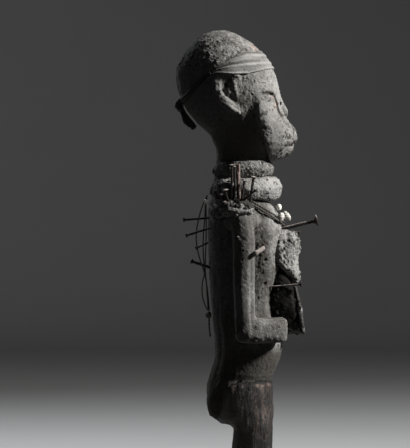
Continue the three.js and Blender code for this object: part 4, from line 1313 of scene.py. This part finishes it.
def tree_cord():
    """A laid cord: round plies that wind about each other along a path."""
    tree, b, given, out = new_group("laid_cord", "GeometryNodeTree", [
        ("Geometry", SOLID, None), ("Thickness", FLOAT, 0.0015), ("Plies", FLOAT, 3.0),
        ("Turns Per Metre", FLOAT, 150.0), ("Step", FLOAT, 0.0007), ("Fuzz", FLOAT, 0.00012),
        ("Finish", FINISH, None),
    ], [("Geometry", SOLID)])
    path = b.make("GeometryNodeMeshToCurve", {"Mesh": given["Geometry"]})
    path = b.make("GeometryNodeResampleCurve", {"Curve": path, "Length": given["Step"]},
                  mode="LENGTH")
    along = b.add("GeometryNodeSplineParameter").outputs["Length"]
    turns = b.times(along, b.times(given["Turns Per Metre"], math.tau))
    path = b.make("GeometryNodeSetCurveTilt", {"Curve": path, "Tilt": turns})
    angle = b.times(b.add("GeometryNodeSplineParameter").outputs["Factor"],
                    b.times(given["Plies"], math.tau))
    lobe = b.times(b.math("COSINE", angle), 0.17)
    swell = b.vector("SCALE", b.make("GeometryNodeInputPosition"), lobe)
    ring = b.make("GeometryNodeSetPosition", {"Geometry": circle(b, CORD_SIDES), "Offset": swell})
    body = sweep(b, path, ring, b.times(given["Thickness"], 0.46))
    hairs = b.shake(given["Fuzz"], Scale=1300.0, Detail=1.0)
    body = b.make("GeometryNodeSetPosition", {"Geometry": body, "Offset": hairs})
    close_tree(b, body, given["Finish"], out)
    return tree


TREES = {"nail": tree_nail(), "cord": tree_cord()}


def grow(name, tree, settings, start=None):
    """Runs a tree on an object and keeps what it makes as a plain mesh."""
    seed_mesh = bpy.data.meshes.new(name + "_start")
    if start is not None:
        chain = [(i, i + 1) for i in range(len(start) - 1)]
        seed_mesh.from_pydata([tuple(p) for p in start], chain, [])
    maker = bpy.data.objects.new(name + "_maker", seed_mesh)
    bpy.context.collection.objects.link(maker)
    modifier = maker.modifiers.new(name, "NODES")
    modifier.node_group = TREES[tree]
    names = {s.name: s.identifier for s in TREES[tree].interface.items_tree
             if s.in_out == "INPUT"}
    for label, value in settings.items():
        modifier[names[label]] = value
    graph = bpy.context.evaluated_depsgraph_get()
    mesh = bpy.data.meshes.new_from_object(maker.evaluated_get(graph))
    bpy.data.objects.remove(maker)
    mesh.name = name
    thing = bpy.data.objects.new(name, mesh)
    bpy.context.collection.objects.link(thing)
    return thing


BACK_CORDS = {
    "back_cord_1": [
        [-16, 44.6, 445], [-16.3, 46.8, 441], [-16.6, 49.6, 434.5], [-16.8, 52.2, 427],
        [-16.9, 54.6, 417.5], [-16.8, 56.4, 408], [-16.5, 57, 399], [-16.2, 56.2, 389],
        [-15.8, 54, 379], [-15.2, 51.2, 370], [-14.2, 48.4, 361.5], [-12.4, 46.3, 352],
        [-10.2, 45.4, 342], [-8, 44.8, 332], [-6.2, 44.2, 324], [-5.2, 43.6, 318.4],
    ],
    "back_cord_2": [
        [-6, 45, 444], [-6, 46.4, 438], [-6, 47, 431], [-6, 47.4, 421], [-5.9, 48.4, 410],
        [-5.7, 49.2, 399], [-5.5, 49.4, 388], [-5.3, 49, 377], [-5.1, 48.2, 367],
        [-5, 48.2, 358], [-4.9, 50, 350], [-4.5, 50.6, 341], [-4, 49.6, 332],
        [-3.6, 47.2, 324.5], [-3.4, 44.4, 318.6],
    ],
    "back_cord_3": [
        [7, 45.4, 443], [7, 46.2, 436], [6.9, 46.2, 427], [6.8, 46, 416], [6.6, 46, 405],
        [6.2, 46.2, 394], [5.6, 46.6, 383], [4.8, 47, 372], [3.8, 47, 361], [2.4, 46, 351],
        [0.9, 44.8, 342], [-0.4, 43.8, 333], [-1.2, 43.1, 325], [-1.6, 42.7, 318.6],
    ],
}
CORD_DIAMETER, CORD_TURNS = 1.5, 150.0
STRAND_DIAMETER, STRAND_TURNS = 2.4, 110.0
# The right half of each strand; its left half is the same, mirrored
NECKLACE = {
    "necklace_strand_upper": [
        (-37.5, 8, 443.5), (-37.8, -4, 438), (-39, -10.5, 434.2), (-37.8, -16.8, 430.4),
        (-35.5, -23, 426.6), (-31.4, -29, 422.9), (-22.5, -34.6, 419.1), (0, -39.6, 415.3)],
    "necklace_strand_lower": [
        (-37.5, 8, 440.3), (-41, -4, 434.8), (-41.1, -10.5, 431), (-40.2, -16.8, 427.2),
        (-38.2, -23, 423.4), (-33.3, -29, 419.7), (-26, -34.6, 415.9), (0, -39.6, 412.1)],
}


def lay_cord(name, route, thickness, turns):
    """A cord along a route, so many millimetres thick and with so many turns a metre."""
    path = smooth_path(route, per_span=4)
    thing = grow("laid_" + name, "cord", {
        "Thickness": thickness * MM, "Turns Per Metre": turns, "Finish": MATERIALS["fibre"],
    }, path * MM)
    finish_piece(thing, "plant_fibre", name)
    return thing


def hang_back_cords():
    """The loose cords from under the lower roll to the knot that gathers them."""
    knot = tie_cord_knot()
    for name, route in BACK_CORDS.items():
        thing = lay_cord(name, route, CORD_DIAMETER, CORD_TURNS)


def lay_necklace():
    for name, half in NECKLACE.items():
        lay_cord(name, half + mirrored(-1, half[-2::-1]), STRAND_DIAMETER, STRAND_TURNS)


def tie_cord_knot():
    """The lumpy knot and the frayed end that hangs out of it."""
    form = Form(["cord_knot"], 0.4, 1.2, grow=0.1)
    for turn in ([(-7, 43, 315), (-4, 46.6, 314), (0, 43.6, 313)],
                 [(-6.6, 43, 312), (-3.6, 46.2, 311.6), (-0.4, 43.4, 311)]):
        form.add(strip(turn, 0.8), 0.5)

    @toneless
    def twisted(p):
        twist = np.sin(p[:, 2] * 1.6 + np.arctan2(p[:, 1] - 42.4, p[:, 0] + 3.3) * 2)
        return 0.16 * twist + 0.15 * swells(p, 1.4, 3, 2)

    return sculpt("tied_cord_knot", form, twisted, "fibre", "plant_fibre", ["cord_knot"], 1.5)


WOOD_BEDDING, PACK_BEDDING = 12, 8      # how deep the nails' points are in
MOST_BOW = 0.5
# Each nail: where its head is, where it goes in, its shank's and cap's radius, its cap's height
WOOD_NAILS = {
    "chest_nail": ([-9, -77, 417.6], [-9, -37, 408], 2, 6.9, 3),
    "chest_nail_small": ([17, -57.5, 403.2], [15, -36, 406.4], 1.2, 2.8, 1.5),
    "gap_nail": ([-27.5, -58.5, 347.8], [-27.5, -26, 345.6], 1, 3.1, 1.5),
    "back_nail_1": ([-13, 71.5, 418], [-12, 43, 420.3], 1.3, 2.9, 1.5),
    "back_nail_2": ([-21, 68.5, 400.5], [-20, 42, 409], 1.2, 2.7, 1.5),
    "back_nail_3": ([2, 58, 386.7], [2, 42.5, 394], 1.1, 2.5, 1.5),
    "back_nail_4": ([-11, 63, 373], [-12, 42.5, 366.5], 1.7, 3.4, 1.5),
    "arm_nail": ([-72, 13, 398.6], [-66.5, 8.6, 395.5], 1.2, 2.6, 1.5),
    "left_side_nail": ([62, -26, 372], [42, -17, 376], 1.3, 2.9, 1.5),
}
PACK_NAILS = {
    "shoulder_nail_1": ([-61, 18.3, 478], [-59.5, 19.5, 439], 1.4, 3.3, 1.5),
    "shoulder_nail_2": ([-57.5, 15.6, 476], [-57, 15, 440], 1.3, 2.2, 1.5),
    "shoulder_nail_3": ([-63, 4.7, 461], [-61, 7.7, 438.5], 1.2, 2.2, 1.5),
    "shoulder_nail_4": ([-60, -5.4, 465], [-58, -1.6, 437.5], 1.4, 3.8, 1.5),
    "shoulder_nail_5": ([-64, 25.4, 451], [-60, 22.8, 437.5], 1.3, 3.2, 1.5),
    "shoulder_nail_6": ([-59, 30, 446], [-54, 27, 437.5], 1.2, 2.5, 1.5),
    "shoulder_nail_7": ([-68, 27, 437], [-63, 25, 433], 1.1, 2.6, 1.5),
    "shoulder_cross_nail": ([-70, -8, 451], [-60, 4.5, 440], 1.1, 2, 1.5),
    "left_shoulder_nail_1": ([57, 17, 473], [56, 16, 440], 1.2, 3.2, 1.5),
    "left_shoulder_nail_2": ([61, 7, 463], [59, 7, 438], 1.2, 2.8, 1.5),
    "left_shoulder_nail_3": ([49, 25, 466], [49.5, 23, 449], 1.1, 2.5, 1.5),
}


def drive_nails():
    """Every forged nail, each with its own bow and dents."""
    draw = np.random.default_rng(17)
    for nails, bedding in ((WOOD_NAILS, WOOD_BEDDING), (PACK_NAILS, PACK_BEDDING)):
        for name, (head, entry, shank, cap, high) in nails.items():
            inward = Vector(entry) - Vector(head)
            length = inward.length + bedding
            thing = grow("iron_" + name, "nail", {
                "Length": length * MM, "Shank": shank * MM, "Cap": cap * MM,
                "Cap Height": high * MM, "Bow": float(draw.uniform(-MOST_BOW, MOST_BOW)) * MM,
                "Seed": float(draw.uniform(0, 9)), "Finish": MATERIALS["iron"],
            })
            turn = inward.to_track_quat("Z", "Y").to_matrix().to_4x4()
            thing.data.transform(Matrix.Translation(Vector(head) * MM) @ turn)
            finish_piece(thing, "rusted_iron", name)


def set_small_things():
    """The bent nail, the peg, the pin, the beads and the pendant."""
    @toneless
    def rusty(p):
        return 0.22 * swells(p, 2.6, 3, 2) + 0.15 * crumbs(p, 2.4, 23, 0.5)

    form = Form(["armpit_nail_bent"], 0.5, 1.2, grow=0.1)
    _, y, _ = form.axes()
    form.move(1.4 * between(y, -15.4, -17.6))
    form.add(strip([(-66, -7.2, 382.3), (-58.6, -13.3, 385.8), (-55.4, -15.6, 387.2)],
                   [2.6, 2.5, 2.2]), 0.4)
    form.add(lump((-66.4, -7.0, 382.2), (1.4, 3.0, 3.0), (0, 0, 10)), 0.6)
    sculpt("iron_armpit_nail_bent", form, rusty, "dusty_iron", "rusted_iron",
           ["armpit_nail_bent"], 2)

    def split_grain(p, n):
        height = 0.18 * swells(p, 1.2, 3, 2, (1, 1, 8)) + 0.2 * swells(p, 4, 5)
        return height, 0.3 * swells(p, 2, 7, 1, (1, 1, 5))

    form = Form(["shoulder_peg"], 0.45, 1.0, grow=0.15)
    form.take(strip([(-56.4, 12, 480), (-56.4, 11.6, 472), (-56, 11, 463)], [0.8, 0.5, 0.2]), 0.5)
    form.take(lump((-54, 9.0, 479.4), (2.4, 1.6, 1.6)), 0.6)
    sculpt("split_shoulder_peg", form, split_grain, "peg", "peg_wood", ["shoulder_peg"], 2)

    @toneless
    def worn(p):
        return 0.12 * swells(p, 1.8, 3, 2)

    @toneless
    def ribbed(p):
        return 0.16 * np.sin(p[:, 2] * 3.2) + 0.14 * swells(p, 1.8, 3, 2)

    form = Form(["bone_pin"], 0.35, 1.0)
    form.add(strip([(-47.4, 39.4, 431.2), (-50.1, 46.8, 438.6)], [1.8, 2.1]), 0.6)
    sculpt("worn_bone_pin", form, worn, "bone", "bone", ["bone_pin"], 1.5)

    for name, node, fine, soft, bore, width, relief, material in (
            ("drilled_white_bead", "white_bead", 0.32, 1.2,
             [(-7, -33.6, 438), (-7, -33.6, 428)], 0.8, worn, "bone"),
            ("ribbed_grey_bead", "grey_bead", 0.35, 1.3,
             [(-28, -37, 428), (-28, -33.8, 414)], 0.9, ribbed, "shell"),
            ("ribbed_shell_pendant", "shell_pendant", 0.4, 1.3,
             [(1, -49.0, 419), (1, -46.5, 422.5), (1, -43.6, 426)], [0.4, 0.8, 0.4], ribbed,
             "shell")):
        form = Form([node], fine, soft, grow=0.1)
        form.take(strip(bore, width), 0.5)
        sculpt(name, form, relief, material, material, [node], 1.5)


def spread_floor():
    """A round sweep of pale paper: a flat floor that curves up into a wall on every side."""
    flat, bend, wall, sides = 6.0, 2.5, 5.0, 96
    profile = [(r, 0.0) for r in np.linspace(0.25, flat, 8)]
    profile += [(flat + bend * math.sin(a), bend * (1 - math.cos(a)))
                for a in np.linspace(0, math.pi / 2, 13)[1:]]
    profile.append((flat + bend, wall))
    points = [(0, 0, 0)]
    for radius, height in profile:
        points += [(radius * math.cos(a), radius * math.sin(a), height)
                   for a in np.linspace(0, math.tau, sides, endpoint=False)]
    faces = [(0, 1 + i, 1 + (i + 1) % sides) for i in range(sides)]
    for ring in range(len(profile) - 1):
        start = 1 + ring * sides
        faces += [(start + i, start + sides + i, start + sides + (i + 1) % sides,
                   start + (i + 1) % sides) for i in range(sides)]
    mesh = bpy.data.meshes.new("studio_floor")
    mesh.from_pydata(points, [], faces)
    mesh.materials.append(MATERIALS["paper"])
    mesh.shade_smooth()
    floor = bpy.data.objects.new("studio_floor", mesh)
    bpy.context.collection.objects.link(floor)
    floor.visible_diffuse = False     # the shade side stays as deep as the lamps leave it


# Making it all: camera and cords first

stand_camera()
hang_back_cords()
light_studio()
spread_floor()
carve_head()
carve_trunk()
carve_hips()
wrap_headband()
tie_knot()
cake_rolls()
pack_shoulders()
pack_chest()
pack_belly()
lay_necklace()
set_small_things()
drive_nails()
